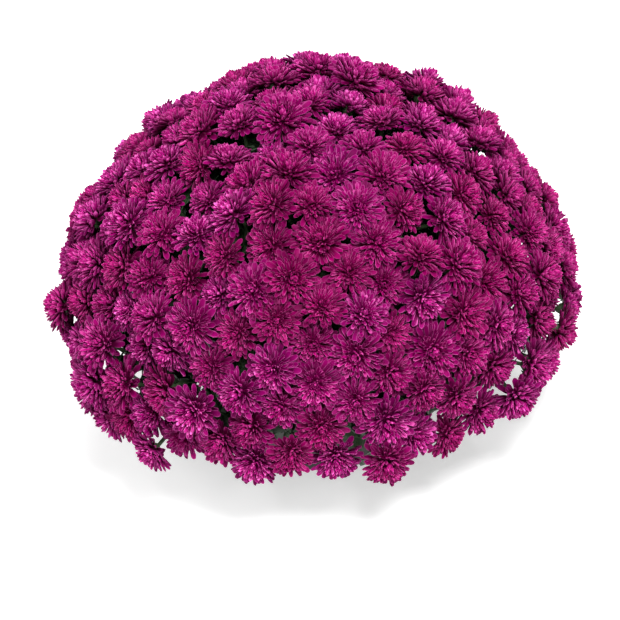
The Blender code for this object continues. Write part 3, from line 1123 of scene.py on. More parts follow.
@dataclass(frozen=True)
class BloomDraw:
    """What is drawn at random for each bloom: first as the solids do, then how it really sits."""

    depth: Range = (-0.0036, 0.009)
    tilt: float = math.radians(9.0)
    radius: Range = (0.0205, 0.0260)
    nod: float = math.radians(24.0)
    shift: Range = (-0.0040, 0.0040)
    sink: Range = (0.0060, -0.0040)
    fullness: Range = (0.94, 1.14)

    def bloom(self, dome: Dome, direction: Vector, draw: random.Random) -> "Bloom":
        """Draws the bloom of the solids.

        Args:
            dome: the dome that it stands on.
            direction: where it stands, from the dome's centre.
            draw: the source of the random numbers.

        Returns:
            The bloom.
        """
        depth = draw.uniform(*self.depth)
        normal = dome.normal(direction)
        leaning = aside(normal, draw.uniform(0.0, FULL_TURN))
        axis = Matrix.Rotation(draw.uniform(0.0, 1.0) * self.tilt, 3, leaning) @ normal
        radius = draw.uniform(*self.radius)
        return Bloom(dome.point(direction, depth), axis, radius, draw.uniform(0.0, FULL_TURN))

    def settled(self, bloom: "Bloom", draw: random.Random) -> "Bloom":
        """Lets a bloom nod, moves it a little aside, up or down, and opens it more or less.

        Args:
            bloom: the bloom of the solids.
            draw: the source of the random numbers.

        Returns:
            The bloom as it really sits. The fuller ones stand further out.
        """
        side = aside(bloom.axis, draw.uniform(0.0, FULL_TURN))
        axis = Matrix.Rotation(draw.uniform(0.0, 1.0) * self.nod, 3, side) @ bloom.axis
        size = draw.random()
        fullness, sink = (low + (high - low) * size for low, high in (self.fullness, self.sink))
        centre = bloom.centre + side * draw.uniform(*self.shift) - bloom.axis * sink
        return Bloom(centre, axis, bloom.radius * fullness, bloom.twist)


@dataclass(frozen=True)
class Bloom:
    """One double bloom: its centre, its axis, its open radius and its turn about the axis."""

    centre: Vector
    axis: Vector
    radius: float
    twist: float

    def turn(self) -> Turn:
        """The turn that stands an upright bloom on this one's axis."""
        return turn_of(aside(self.axis, self.twist), self.axis)


@dataclass
class Plan:
    """The whole plant's layout: its sprays, and the blooms of each one."""

    habit: Habit
    sprays: list[Spray]
    blooms: dict[int, list[Bloom]]

    @classmethod
    def drawn(cls) -> "Plan":
        """The layout of the solids.

        Returns:
            The plan, with the blooms as they really sit.
        """
        habit = Habit(Dome())
        sprays = habit.sprays()
        draw = random.Random(SEED)
        each = BloomDraw()
        blooms = [each.bloom(habit.dome, way, draw) for way in habit.dome.directions(draw)]
        groups: dict[int, list[Bloom]] = {k: [] for k in range(len(sprays))}
        for bloom in blooms:
            way = (bloom.centre - habit.dome.centre).normalized()
            nearest = max(groups, key=lambda k: sprays[k].direction.dot(way))
            groups[nearest].append(each.settled(bloom, draw))
        return cls(habit, sprays, groups)

    def of_cutting(self, cutting: int) -> list[int]:
        """The numbers of a cutting's sprays, from 0."""
        return [k for k, spray in enumerate(self.sprays) if spray.cutting == cutting]


# Blooms


@dataclass(frozen=True)
class Petal:
    """A petal of unit length along +X from its root, with its inner face up."""

    width: float
    cup: float
    curl: float
    bend: float
    claw: float
    stations: tuple[float, ...]
    widest: float = 0.83
    thickness: float = 0.018

    def half_width(self, along: float) -> float:
        """Half its width at this share of its length: a narrow claw, a broad blade, a round tip.

        Args:
            along: the share, from 0 to 1.

        Returns:
            The half width.
        """
        rise = min(along / self.widest, 1.0)
        blade = self.claw + (1.0 - self.claw) * rise * rise * (3.0 - 2.0 * rise)
        over = max(along - self.widest, 0.0) / (1.0 - self.widest)
        return self.width / 2 * blade * math.sqrt(max(1.0 - over * over, 0.0))

    def spot(self, along: float, across: float, below: float) -> Vector:
        """A point of the petal.

        Args:
            along: its place from the root to the tip, from 0 to 1.
            across: its place across the petal, from -1 to 1.
            below: how far it is under the inner face.

        Returns:
            The point.
        """
        half = self.half_width(along)
        trough = self.cup * half * (abs(across) - 0.5)
        middle = Vector((along, self.bend * along * along, -self.curl * along * (1.0 - along)))
        return middle + Vector((0.0, across * half, trough - below))

    def mesh(self, name: str, row: int) -> bpy.types.Mesh:
        """Makes the closed petal.

        Args:
            name: the mesh's name.
            row: the atlas row of its inner face; the next one is its reverse's.

        Returns:
            The petal, four-sided, with a groove along its inner face.
        """
        blade = Blade()
        root, tip = (blade.vert(self.spot(end, 0.0, 0.0), 0.0, end) for end in (0.0, 1.0))
        section = ((1.0, 0.0), (0.0, 0.0), (-1.0, 0.0), (0.0, self.thickness))
        rings = [
            [blade.vert(self.spot(along, across, below), across, along) for across, below in section]
            for along in self.stations
        ]
        for i in range(len(section)):
            j = (i + 1) % len(section)
            strip = [(root, rings[0][i], rings[0][j])]
            strip += [(a[i], b[i], b[j], a[j]) for a, b in zip(rings, rings[1:])]
            strip.append((rings[-1][i], tip, rings[-1][j]))
            for corners in strip:
                blade.face(corners, row + i // 2)
        for side in (0, 2):
            blade.crease([root, *(ring[side] for ring in rings), tip])
        return mesh_of(name, blade.bm)


# Each row: width, cup, curl, bend, claw and stations, from the rim's petals to the eye's.
PETAL_KINDS = (
    Petal(0.235, 0.60, 0.08, 0.03, 0.36, (0.48, 0.84, 0.965)),
    Petal(0.225, 0.85, 0.35, -0.04, 0.38, (0.48, 0.84, 0.965)),
    Petal(0.210, 1.10, 0.50, 0.05, 0.42, (0.55, 0.92)),
    Petal(0.200, 0.80, 0.50, -0.05, 0.50, (0.55, 0.92)),
    Petal(0.190, 0.80, 0.40, 0.06, 0.60, (0.76,)),
)
PETAL_STARTS = (0.11, 0.27, 0.48, 0.76)
TONES = 4
PETAL_ATLAS = Atlas(columns=TONES * TONES, rows=2 * len(PETAL_KINDS))


@dataclass(frozen=True)
class BloomKind:
    """A way for a bloom to open, in shares of its radius."""

    petals: int
    rise: float
    dip: float
    reach_power: float
    droop: float


# Each row: petals, rise, dip, reach power and droop.
BLOOM_KINDS = (
    BloomKind(178, 0.50, 0.02, 0.76, 0.20),
    BloomKind(182, 0.44, 0.04, 0.72, 0.14),
    BloomKind(176, 0.58, 0.00, 0.80, 0.26),
    BloomKind(180, 0.40, 0.06, 0.74, 0.10),
    BloomKind(182, 0.52, 0.03, 0.70, 0.28),
    BloomKind(178, 0.46, 0.00, 0.82, 0.16),
)


@dataclass(frozen=True)
class Blooms:
    """The blooms of all cuttings: petals on a golden-angle spiral, from the rim to the eye."""

    plan: Plan
    finish: bpy.types.Material
    root_spread: float = 0.08
    eye_root: float = 0.03
    eye_tip: float = -0.02
    root_drop: float = 0.14
    root_rise: float = 0.10
    crater: float = 0.42
    length_range: Range = (0.90, 1.08)
    width_range: Range = (0.88, 1.10)
    lift_shake: float = 0.18
    azimuth_shake: float = 0.20
    roll_shake: float = 0.45
    kind_shake: float = 0.03
    heart_profile: Profile = ((0, -0.02), (0.13, -0.06), (0.19, -0.16), (0, -0.20))
    heart_sides: int = 7
    # The heart's map reads the claws' darkest painted shade.
    heart_shade_spot: Range = (0.5, 0.1)
    sway: float = 0.0022
    sway_cells: float = 55.0

    def petal_shelf(self) -> bpy.types.Collection:
        """The petals that a bloom is made of, each kind as a left and a right one.

        Returns:
            Their collection.
        """
        return shelf_of("petal_kinds", [
            replace(petal, bend=petal.bend * hand).mesh(f"petal_{kind}_{number}", 2 * kind)
            for kind, petal in enumerate(PETAL_KINDS)
            for number, hand in enumerate((1.0, -1.0))
        ])

    def heart(self) -> bpy.types.Mesh:
        """The closed floret base under the petals, in the claws' painted shade, for a bloom of unit radius.

        Returns:
            Its mesh, with the map and the row that the petals have.
        """
        mesh = turned("bloom_heart", self.heart_profile, self.heart_sides)
        mesh.uv_layers.new(name=UV_MAP).data.foreach_set("uv", self.heart_shade_spot * len(mesh.loops))
        mesh.attributes.new("row", "FLOAT", "FACE")
        return mesh

    def bloom_recipe(self) -> Recipe:
        """The tree that sets the petals of one bloom round its heart.

        Returns:
            The tree, for an upright bloom of unit radius. Petals come from the rim's to the eye's.
        """
        recipe = Recipe(
            "bloom", Petals="Collection", Count="Int",
            Rise="Float", Dip="Float", Reach="Float", Droop="Float",
        )
        index = recipe.term("GeometryNodeInputIndex")
        inwards = index / (recipe.given("Count") - 1.0)
        outwards = 1.0 - inwards
        tip = outwards ** recipe.given("Reach") * (1.0 - self.eye_tip) + self.eye_tip
        bowl = recipe.ramp(tip, self.crater, 0.0) * recipe.given("Dip")
        height = (1.0 - tip**2.0) * recipe.given("Rise") - bowl - recipe.given("Droop") * tip
        root = outwards * self.root_spread + self.eye_root
        depth = inwards * self.root_rise - self.root_drop
        out, up = tip - root, height - depth
        length = recipe.math("SQRT", out * out + up * up) * recipe.draw(*self.length_range, 1)
        lift = recipe.math("ARCTAN2", up, out) + recipe.shaken(self.lift_shake, 2)
        azimuth = index * GOLDEN_ANGLE + recipe.shaken(self.azimuth_shake, 3)
        turn = recipe.turn(recipe.shaken(self.roll_shake, 4), lift * -1.0, azimuth)
        kind = 0.0
        for start in PETAL_STARTS:
            place = inwards + recipe.shaken(self.kind_shake, 5)
            kind = kind + recipe.math("GREATER_THAN", place, start)
        hand = recipe.math("GREATER_THAN", recipe.draw(0.0, 1.0, 6), 0.5)
        points = recipe.about_axis(root, azimuth, depth)
        points = recipe.store(points, "petal_tone", recipe.draw(0.0, 1.0, 7), "FLOAT", "POINT")
        size = recipe.vector(length, length * recipe.draw(*self.width_range, 8), length)
        petals = recipe.copies(points, recipe.given("Petals"), kind * 2.0 + hand, turn, size)
        recipe.end(recipe.joined(recipe.realised(petals), recipe.given("Geometry")))
        return recipe

    def bloom_shelf(self) -> bpy.types.Collection:
        """One bloom of each kind.

        Returns:
            Their collection.
        """
        petals, recipe = self.petal_shelf(), self.bloom_recipe()
        return shelf_of("bloom_kinds", [
            recipe.bake(
                self.heart(), f"bloom_{number}", self.finish, SEED + 100 * number, Petals=petals,
                Count=kind.petals, Rise=kind.rise, Dip=kind.dip, Reach=kind.reach_power, Droop=kind.droop,
            )
            for number, kind in enumerate(BLOOM_KINDS)
        ])

    def spread_recipe(self) -> Recipe:
        """The tree that sets blooms on their points, each with its own sway and tone.

        Returns:
            The tree.
        """
        recipe = Recipe("blooms_on_points", Blooms="Collection", Sway="Float")
        copies = recipe.copies_as_told(recipe.given("Geometry"), recipe.given("Blooms"))
        faces = recipe.swayed(recipe.realised(copies), self.sway_cells)
        age = recipe.math("FLOOR", recipe.attribute("tone") * TONES)
        tone = (age + recipe.attribute("petal_tone")) / TONES
        recipe.end(PETAL_ATLAS.write(recipe, faces, tone))
        return recipe

    def build(self) -> None:
        """Makes the blooms of each cutting, in the place of its sprays' solids."""
        shelf, recipe = self.bloom_shelf(), self.spread_recipe()
        draw = random.Random(SEED + 1)
        for cutting in range(self.plan.habit.cuttings):
            numbers = self.plan.of_cutting(cutting)
            blooms = [bloom for k in numbers for bloom in self.plan.blooms[k]]
            host = points_mesh(
                "bloom_points",
                [bloom.centre for bloom in blooms],
                turn=[bloom.turn() for bloom in blooms],
                size=[bloom.radius for bloom in blooms],
                kind=[draw.randrange(len(BLOOM_KINDS)) for _ in blooms],
                tone=[draw.random() for _ in blooms],
            )
            name = f"blooms_{cutting + 1}"
            mesh = recipe.bake(host, name, self.finish, Blooms=shelf, Sway=self.sway)
            finished(name, mesh, Slot.PETALS, [f"spray_{k + 1:02d}" for k in numbers])


# Leaves and stalks


@dataclass(frozen=True)
class Leaf:
    """A leaf of unit length along +X from the foot of its stalk, with its face up."""

    arch: float
    rows: int
    half_width: float = 0.31
    stalk_share: float = 0.16
    stalk_half: float = 0.022
    stalk_taper: float = 0.8
    stalk_knee: float = 0.7
    broadest_early: float = 0.75
    bluntness: float = 0.6
    first_lobe: float = 0.27
    lobe_pitch: float = 0.24
    lobe_depth: float = 0.42
    tooth: float = 0.07
    slant: float = 0.45
    edge_lift: float = 0.18
    thickness: float = 0.012
    ripple: float = 0.030
    lanes: tuple[float, ...] = (-1.0, 0.0, 1.0)

    def half(self, station: float, row: int) -> float:
        """Half the leaf's width, with a tooth on every other row.

        Args:
            station: where on the midrib the side vein springs that ends at this edge.
            row: the number of the row of points there.

        Returns:
            The length of that side vein's way across.
        """
        share = (station - self.stalk_share) / (1.0 - self.stalk_share)
        bulge = math.sin(math.pi * max(share, 0.0) ** self.broadest_early)
        body = bulge**self.bluntness if share < 1.0 else 0.0
        wave = 0.5 + 0.5 * math.cos(FULL_TURN * (station - self.first_lobe) / self.lobe_pitch)
        lobed = 1.0 - self.lobe_depth * (1.0 - wave)
        toothed = 1.0 - self.tooth * (row % 2)
        stalk = self.stalk_half * (1.0 - share * self.stalk_taper)
        return max(self.half_width * body * lobed * toothed, stalk)

    def spot(self, station: float, row: int, across: float, below: float) -> Vector:
        """A point of the leaf.

        Args:
            station: where on the midrib its side vein springs.
            row: the number of its row.
            across: its place on the side vein, from -1 to 1.
            below: how far it is under the leaf's face.

        Returns:
            The point.
        """
        half, out = self.half(station, row), abs(across)
        x = station + self.slant * half * out * (station > self.stalk_share)
        lift = self.edge_lift * half * out - self.arch * x * x
        lift += self.ripple * out * math.sin(FULL_TURN * station / self.lobe_pitch) * half / self.half_width
        return Vector((x, half * across, lift - below))

    def mesh(self, name: str) -> bpy.types.Mesh:
        """Makes the closed leaf.

        Args:
            name: the mesh's name.

        Returns:
            The leaf, with its face in atlas row 0 and its reverse in row 1.
        """
        blade = Blade()
        stations = [0.0, self.stalk_share * self.stalk_knee]
        body = 1.0 - self.stalk_share
        stations += [self.stalk_share + body * i / self.rows for i in range(self.rows + 1)]

        def line(row: int, lanes: Iterable[float], below: float) -> list[bmesh.types.BMVert]:
            """The points of a row in these lanes. They lie deepest under the midrib.

            Args:
                row: the row's number.
                lanes: places across, from -1 to 1.
                below: how deep they lie under the midrib.

            Returns:
                The points.
            """
            station = stations[row]
            spots = [self.spot(station, row, lane, below * (1.0 - abs(lane))) for lane in lanes]
            return [blade.vert(spot, lane, min(station, 1.0)) for spot, lane in zip(spots, lanes)]

        top = [line(row, self.lanes, 0.0) for row in range(len(stations))]
        under = [
            [rim[0], *line(row, self.lanes[1:-1], self.thickness), rim[-1]] for row, rim in enumerate(top)
        ]
        for side, sheet in enumerate((top, under)):
            for a, b in zip(sheet, sheet[1:]):
                for i in range(len(self.lanes) - 1):
                    corners = (a[i], b[i], b[i + 1], a[i + 1])
                    blade.face(corners if side else corners[::-1], side)
        for end in (0, -1):
            loop = top[end] + under[end][-2:0:-1]
            blade.face(loop if end else loop[::-1], 0)
        return mesh_of(name, blade.bm)


LEAF_ATLAS = Atlas(columns=6, rows=2)


class LeafKind(enum.IntEnum):
    """The kinds of leaf, in the order of their shapes' names."""

    BRANCH = 0
    SKIRT = 1
    SMALL = 2
    PEDICEL = 3


@dataclass(frozen=True)
class LeafPlace:
    """Where one leaf stands: the foot of its stalk, the way it points, its face, length and kind."""

    foot: Vector
    along: Vector
    face: Vector
    length: float
    kind: LeafKind


@dataclass(frozen=True)
class Leaves:
    """All leaves: the solids' own, and smaller ones up the branches and pedicels."""

    plan: Plan
    finish: bpy.types.Material
    branch_leaf: float = 0.060
    skirt_leaf: float = 0.078
    skirt_lean: float = 0.22
    skirt_foot: float = 0.25
    branch_foot: float = 0.45
    arch: float = 3.2
    first_leafy_ring: int = 3
    course_steps: int = 24
    up_branch: tuple[float, ...] = (0.42, 0.56, 0.68, 0.79, 0.88, 0.96)
    small_leaf: Range = (0.028, 0.044)
    small_lean: Range = (0.35, 0.25)
    small_face_out: float = 1.2
    up_pedicel: tuple[int, ...] = (1, 2, 3, 4, 5)
    upper_leaf: Range = (0.028, 0.042)
    upper_rise: Range = (0.55, 0.07)
    sway: float = 0.004
    sway_cells: float = 40.0

    def solid_leaf(self, spray: Spray) -> list[LeafPlace]:
        """The leaf that the solids have on a branch.

        Args:
            spray: the branch's spray.

        Returns:
            One leaf, or none.
        """
        knees, habit = spray.knees(), self.plan.habit
        if spray.on_skirt:
            outward = Vector((spray.direction.x, spray.direction.y, 0.0)).normalized()
            foot = knees[-2].lerp(knees[-1], self.skirt_foot)
            way = outward * self.skirt_lean - UP
            return [LeafPlace(foot, way, -outward, self.skirt_leaf, LeafKind.SKIRT)]
        if spray.ring < self.first_leafy_ring:
            return []
        foot = knees[1].lerp(knees[2], self.branch_foot)
        share = (spray.place + 1) / (spray.ring + 1)
        aim = habit.sector(spray.cutting, share, habit.polar(spray.ring + 1))
        outward = (foot - habit.dome.centre).normalized()
        way = aim - outward * aim.dot(outward)
        return [LeafPlace(foot, way, outward, self.branch_leaf, LeafKind.BRANCH)]

    def spiral(
        self, course: Sequence[Vector], steps: Iterable[int], angle: float
    ) -> Iterator[tuple[Vector, Vector, Vector]]:
        """Leaves' feet along a stalk, each a golden angle further round it.

        Args:
            course: the stalk's points.
            steps: the numbers of the points that carry a leaf.
            angle: where round the stalk they start.

        Yields:
            A foot, the way of the stalk there, and the way aside.
        """
        for i in steps:
            way = (course[i + 1] - course[i]).normalized()
            angle += GOLDEN_ANGLE
            yield course[i], way, aside(way, angle)

    def branch_leaves(self, spray: Spray, draw: random.Random) -> list[LeafPlace]:
        """The smaller leaves that spiral up a branch.

        Args:
            spray: the branch's spray.
            draw: the source of the random numbers.

        Returns:
            The leaves.
        """
        steps = [int(share * self.course_steps) for share in self.up_branch]
        course = spray.course(self.course_steps)
        up, out = self.small_lean
        found = []
        for foot, way, side in self.spiral(course, steps, draw.uniform(0.0, FULL_TURN)):
            outward = (foot - self.plan.habit.dome.centre).normalized()
            along = (side + way * up + outward * out).normalized()
            face = (way + outward * self.small_face_out).normalized()
            found.append(LeafPlace(foot, along, face, draw.uniform(*self.small_leaf), LeafKind.SMALL))
        return found

    def pedicel_leaves(self, stalk: Sequence[Vector], draw: random.Random) -> list[LeafPlace]:
        """The small leaves of a pedicel, which stand less steeply towards the bloom.

        Args:
            stalk: the pedicel's points.
            draw: the source of the random numbers.

        Returns:
            The leaves.
        """
        rise, fall = self.upper_rise
        feet = self.spiral(stalk, self.up_pedicel, draw.uniform(0.0, FULL_TURN))
        found = []
        for i, (foot, way, side) in zip(self.up_pedicel, feet):
            along, length = side + way * (rise - fall * i), draw.uniform(*self.upper_leaf)
            found.append(LeafPlace(foot, along, way, length, LeafKind.PEDICEL))
        return found

    def shelf(self) -> bpy.types.Collection:
        """The shapes of the kinds of leaf.

        Returns:
            Their collection.
        """
        lanes = (-1.0, -0.5, 0.0, 0.5, 1.0)
        shapes = {
            LeafKind.BRANCH: Leaf(arch=self.arch * self.branch_leaf, rows=16, lanes=lanes),
            LeafKind.SKIRT: Leaf(arch=self.arch * self.skirt_leaf, rows=16, lanes=lanes),
            LeafKind.SMALL: Leaf(arch=0.22, rows=10),
            LeafKind.PEDICEL: Leaf(arch=0.30, rows=6, half_width=0.24),
        }
        return shelf_of("leaf_kinds", [leaf.mesh(f"leaf_{kind.value}") for kind, leaf in shapes.items()])

    def recipe(self) -> Recipe:
        """The tree that sets leaves on their points.

        Returns:
            The tree.
        """
        recipe = Recipe("leaves_on_points", Leaves="Collection", Sway="Float")
        tone = recipe.draw(0.0, 1.0, 1)
        points = recipe.store(recipe.given("Geometry"), "leaf_tone", tone, "FLOAT", "POINT")
        copies = recipe.copies_as_told(points, recipe.given("Leaves"))
        faces = recipe.swayed(recipe.realised(copies), self.sway_cells)
        recipe.end(LEAF_ATLAS.write(recipe, faces, recipe.attribute("leaf_tone")))
        return recipe

    def build(self) -> None:
        """Makes the leaves of each cutting."""
        shelf, recipe = self.shelf(), self.recipe()
        draw = random.Random(SEED + 2)
        for cutting in range(self.plan.habit.cuttings):
            leaves = []
            for k in self.plan.of_cutting(cutting):
                spray = self.plan.sprays[k]
                leaves += self.solid_leaf(spray)
                leaves += self.branch_leaves(spray, draw)
                for bloom in self.plan.blooms[k]:
                    leaves += self.pedicel_leaves(spray.pedicel(bloom), draw)
            host = points_mesh(
                "leaf_points",
                [leaf.foot for leaf in leaves],
                turn=[turn_of(leaf.along, leaf.face) for leaf in leaves],
                size=[leaf.length for leaf in leaves],
                kind=[leaf.kind for leaf in leaves],
            )
            name = f"leaves_{cutting + 1}"
            mesh = recipe.bake(host, name, self.finish, SEED + cutting, Leaves=shelf, Sway=self.sway)
            finished(name, mesh, Slot.FOLIAGE, [f"cutting_{cutting + 1}"])


class Strands:
    """Stalks under construction: chains of points, each with its thickness and perhaps a calyx."""

    def __init__(self) -> None:
        """Starts with none."""
        self.places: list[Vector] = []
        self.edges: list[tuple[int, int]] = []
        self.thickness: list[float] = []
        self.woody: list[float] = []
        self.size: list[float] = []
        self.turn: list[Turn] = []

    def add(
        self, course: Sequence[Vector], thickness: Sequence[float], woody: Range = (0.0, 0.0),
        bloom: Bloom | None = None,
    ) -> None:
        """Adds a stalk.

        Args:
            course: its points from foot to tip.
            thickness: its radius at each.
            woody: how woody it is at its foot and at its tip, from 0 to 1.
            bloom: the bloom at its tip, which gets a calyx.
        """
        first = len(self.places)
        self.places += course
        self.thickness += thickness
        self.woody += list(np.linspace(*woody, len(course)))
        self.edges += [(i, i + 1) for i in range(first, len(self.places) - 1)]
        self.size += [0.0] * len(course)
        self.turn += [(1.0, 0.0, 0.0, 0.0)] * len(course)
        if bloom:
            self.size[-1] = bloom.radius
            self.turn[-1] = bloom.turn()

    def mesh(self, name: str) -> bpy.types.Mesh:
        """The chains as edges."""
        values = {"thickness": self.thickness, "woody": self.woody, "size": self.size, "turn": self.turn}
        return points_mesh(name, self.places, self.edges, **values)


@dataclass(frozen=True)
class Calyx:
    """The calyx of a bloom of unit radius: a cup with two rows of pointed bracts."""

    finish: bpy.types.Material
    bracts: int = 11
    bract: Petal = Petal(0.40, 0.40, 0.16, 0.0, 0.75, (0.50,), widest=0.5, thickness=0.06)
    bract_length: Range = (0.30, 0.38)
    bract_lift: Range = (-1.25, -0.95)
    inner_row: Range = (0.15, 0.17)
    outer_step: Range = (0.05, -0.08)
    sides: int = 8
    cup: Profile = (
        (0, 0.28), (0.12, 0.31), (0.24, 0.33), (0.22, 0.20), (0.14, 0.08), (0.075, 0.0), (0, -0.01)
    )

    def mesh(self) -> bpy.types.Mesh:
        """The calyx, from its foot at the origin.

        Returns:
            Its mesh.
        """
        recipe = Recipe("calyx", Bracts="Collection", Count="Int")
        index = recipe.term("GeometryNodeInputIndex")
        azimuth = index * GOLDEN_ANGLE
        outer = recipe.math("MODULO", index, 2.0)
        radius, height = (outer * step + inner for step, inner in zip(self.outer_step, self.inner_row))
        points = recipe.about_axis(radius, azimuth, height)
        turn = recipe.turn(0.0, recipe.draw(*self.bract_lift, 1), azimuth)
        copies = recipe.copies(points, recipe.given("Bracts"), 0, turn, recipe.draw(*self.bract_length, 2))
        recipe.end(recipe.joined(copies, recipe.given("Geometry")))
        bracts = shelf_of("bracts", [self.bract.mesh("bract", 0)])
        cup = turned("cup", self.cup, self.sides)
        return recipe.bake(cup, "calyx", self.finish, Bracts=bracts, Count=self.bracts)


@dataclass(frozen=True)
class Stalks:
    """The stems, branches, knots, pedicels and calyxes of the cuttings."""

    plan: Plan
    finish: bpy.types.Material
    stem_radius: float = 0.0048
    stem_tip_share: float = 0.70
    stem_steps: int = 6
    stem_wood: Range = (1.0, 0.6)
    branch_radius: float = 0.0022
    branch_tip_share: float = 0.80
    branch_steps: int = 12
    branch_wood: Range = (0.6, 0.0)
    knot_flare: float = 1.25
    pedicel_radius: float = 0.0017
    sides: int = 6
    unevenness: float = 0.25
    lumps: float = 160.0

    def recipe(self) -> Recipe:
        """The tree that thickens the chains and sets a calyx at each pedicel's tip.

        Returns:
            The tree.
        """
        recipe = Recipe("stalks", Calyxes="Collection", Sides="Int", Unevenness="Float")
        chains, size = recipe.given("Geometry"), recipe.attribute("size")
        tip = {"Geometry": chains, "Selection": recipe.math("GREATER_THAN", size, 0.0)}
        tips = recipe.term("GeometryNodeSeparateGeometry", tip, domain="POINT")
        turn = recipe.attribute("turn", "QUATERNION")
        calyxes = recipe.copies(tips, recipe.given("Calyxes"), 0, turn, size)
        lumps = recipe.noise(recipe.term("GeometryNodeInputPosition"), self.lumps) - 0.5
        circle = {"Resolution": recipe.given("Sides"), "Radius": 1.0}
        tubes = recipe.term("GeometryNodeCurveToMesh", {
            "Curve": recipe.term("GeometryNodeMeshToCurve", {0: chains}),
            "Profile Curve": recipe.term("GeometryNodeCurvePrimitiveCircle", circle),
            "Scale": recipe.attribute("thickness") * (lumps * recipe.given("Unevenness") + 1.0),
            "Fill Caps": True,
        })
        whole = recipe.joined(tubes, recipe.realised(calyxes))
        recipe.end(recipe.term("GeometryNodeSetShadeSmooth", {"Geometry": whole}))
        return recipe

    def strands(self, cutting: int) -> Strands:
        """The chains of one cutting.

        Args:
            cutting: its number, from 0.

        Returns:
            Its stem, branches and pedicels.
        """
        habit, strands = self.plan.habit, Strands()
        low, high = habit.stem_upper(cutting)
        foot = habit.foot(cutting) + UP * (habit.soil_top - habit.hole_depth)
        steps = self.stem_steps + 1
        course = [foot] + [low.lerp(high, i / self.stem_steps) for i in range(steps)]
        taper = [1.0 - (1.0 - self.stem_tip_share) * i / steps for i in range(steps + 1)]
        strands.add(course, [self.stem_radius * share for share in taper], self.stem_wood)
        tip = self.branch_radius * self.branch_tip_share
        thinner = tip - self.branch_radius
        taper = [self.branch_radius + thinner * i / self.branch_steps for i in range(self.branch_steps + 1)]
        taper += [tip * (1.0 + self.knot_flare) / 2, tip * self.knot_flare]
        for k in self.plan.of_cutting(cutting):
            spray = self.plan.sprays[k]
            knot = [spray.knot(share) for share in (0.5, 1.0)]
            strands.add(spray.course(self.branch_steps) + knot, taper, self.branch_wood)
            for bloom in self.plan.blooms[k]:
                stalk = spray.pedicel(bloom)
                strands.add(stalk, [self.pedicel_radius] * len(stalk), bloom=bloom)
        return strands

    def build(self) -> None:
        """Makes the stalks of each cutting."""
        shelf, recipe = shelf_of("calyxes", [Calyx(self.finish).mesh()]), self.recipe()
        for cutting in range(self.plan.habit.cuttings):
            name = f"stalks_{cutting + 1}"
            mesh = recipe.bake(
                self.strands(cutting).mesh("stalk_chains"), name, self.finish,
                Calyxes=shelf, Sides=self.sides, Unevenness=self.unevenness,
            )
            finished(name, mesh, Slot.FOLIAGE, [f"cutting_{cutting + 1}"])


# Soil and pot


@dataclass(frozen=True)
class PotShape:
    """The pot's sizes."""

    height: float = 0.136
    rim_radius: float = 0.108
    base_radius: float = 0.080
    wall: float = 0.003
    rim_height: float = 0.018
    rim_step: float = 0.003
    rim_draft: float = 0.001
    lip_steps: int = 8
    foot_round: float = 0.002
    foot_steps: int = 4
    drain_radius: float = 0.005
    drain_circle: float = 0.058
    drains: int = 4
    drain_sides: int = 24
    sides: int = 96

    def wall_radius(self, height: float) -> float:
        """The outside of the wall at this height, under the rim."""
        top = self.rim_radius - self.rim_step
        return self.base_radius + (top - self.base_radius) * height / (self.height - self.rim_height)

    def profile(self) -> list[tuple[float, float]]:
        """The pot's section, from the floor inside, over the lip, to the floor outside.

        Returns:
            Its (radius, height) points.
        """
        half = self.wall / 2
        lip_centre, lip_height = self.rim_radius - half, self.height - half
        arc = [math.pi * i / self.lip_steps for i in range(self.lip_steps + 1)]
        lip = [(lip_centre - half * math.cos(a), lip_height + half * math.sin(a)) for a in arc]
        soft = self.rim_step / 4
        edge = self.rim_radius - self.rim_draft
        shoulder = self.height - self.rim_height
        wall_top = self.wall_radius(shoulder)
        inside = self.wall_radius(self.wall) - self.wall
        arc = [math.pi / 2 * i / self.foot_steps for i in range(self.foot_steps, -1, -1)]
        bend, base = self.foot_round, self.base_radius
        foot = [(base - bend * (1 - math.sin(a)), bend * (1 - math.cos(a))) for a in arc]
        return [
            (0.0, self.wall),
            (inside - bend, self.wall),
            (inside, self.wall + bend),
            (wall_top - self.wall, shoulder),
            *lip,
            (edge, shoulder + soft),
            (edge - soft, shoulder),
            (wall_top + soft, shoulder),
            (wall_top, shoulder - soft),
            *foot,
            (0.0, 0.0),
        ]


@dataclass(frozen=True)
class Pot:
    """The moulded plastic pot, with its drain holes."""

    shape: PotShape
    finish: bpy.types.Material

    def build(self) -> None:
        """Makes the pot in the place of its solid."""
        shape = self.shape
        body = placed("pot_body", turned("pot_body", shape.profile(), shape.sides))
        bm = bmesh.new()
        for i in range(shape.drains):
            bmesh.ops.create_cone(
                bm, cap_ends=True, segments=shape.drain_sides, radius1=shape.drain_radius,
                radius2=shape.drain_radius, depth=4 * shape.wall,
                matrix=Matrix.Translation(around(shape.drain_circle, i, shape.drains)),
            )
        drills = placed("pot_drills", mesh_of("drills", bm, closed=False))
        cut = body.modifiers.new("drain holes", "BOOLEAN")
        cut.operation = "DIFFERENCE"
        cut.solver = "EXACT"
        cut.object = drills
        mesh = plain_mesh(body)
        bpy.data.objects.remove(drills, do_unlink=True)
        mesh.materials.clear()
        mesh.materials.append(self.finish)
        finished("plant_pot", mesh, Slot.POT, ["pot"])


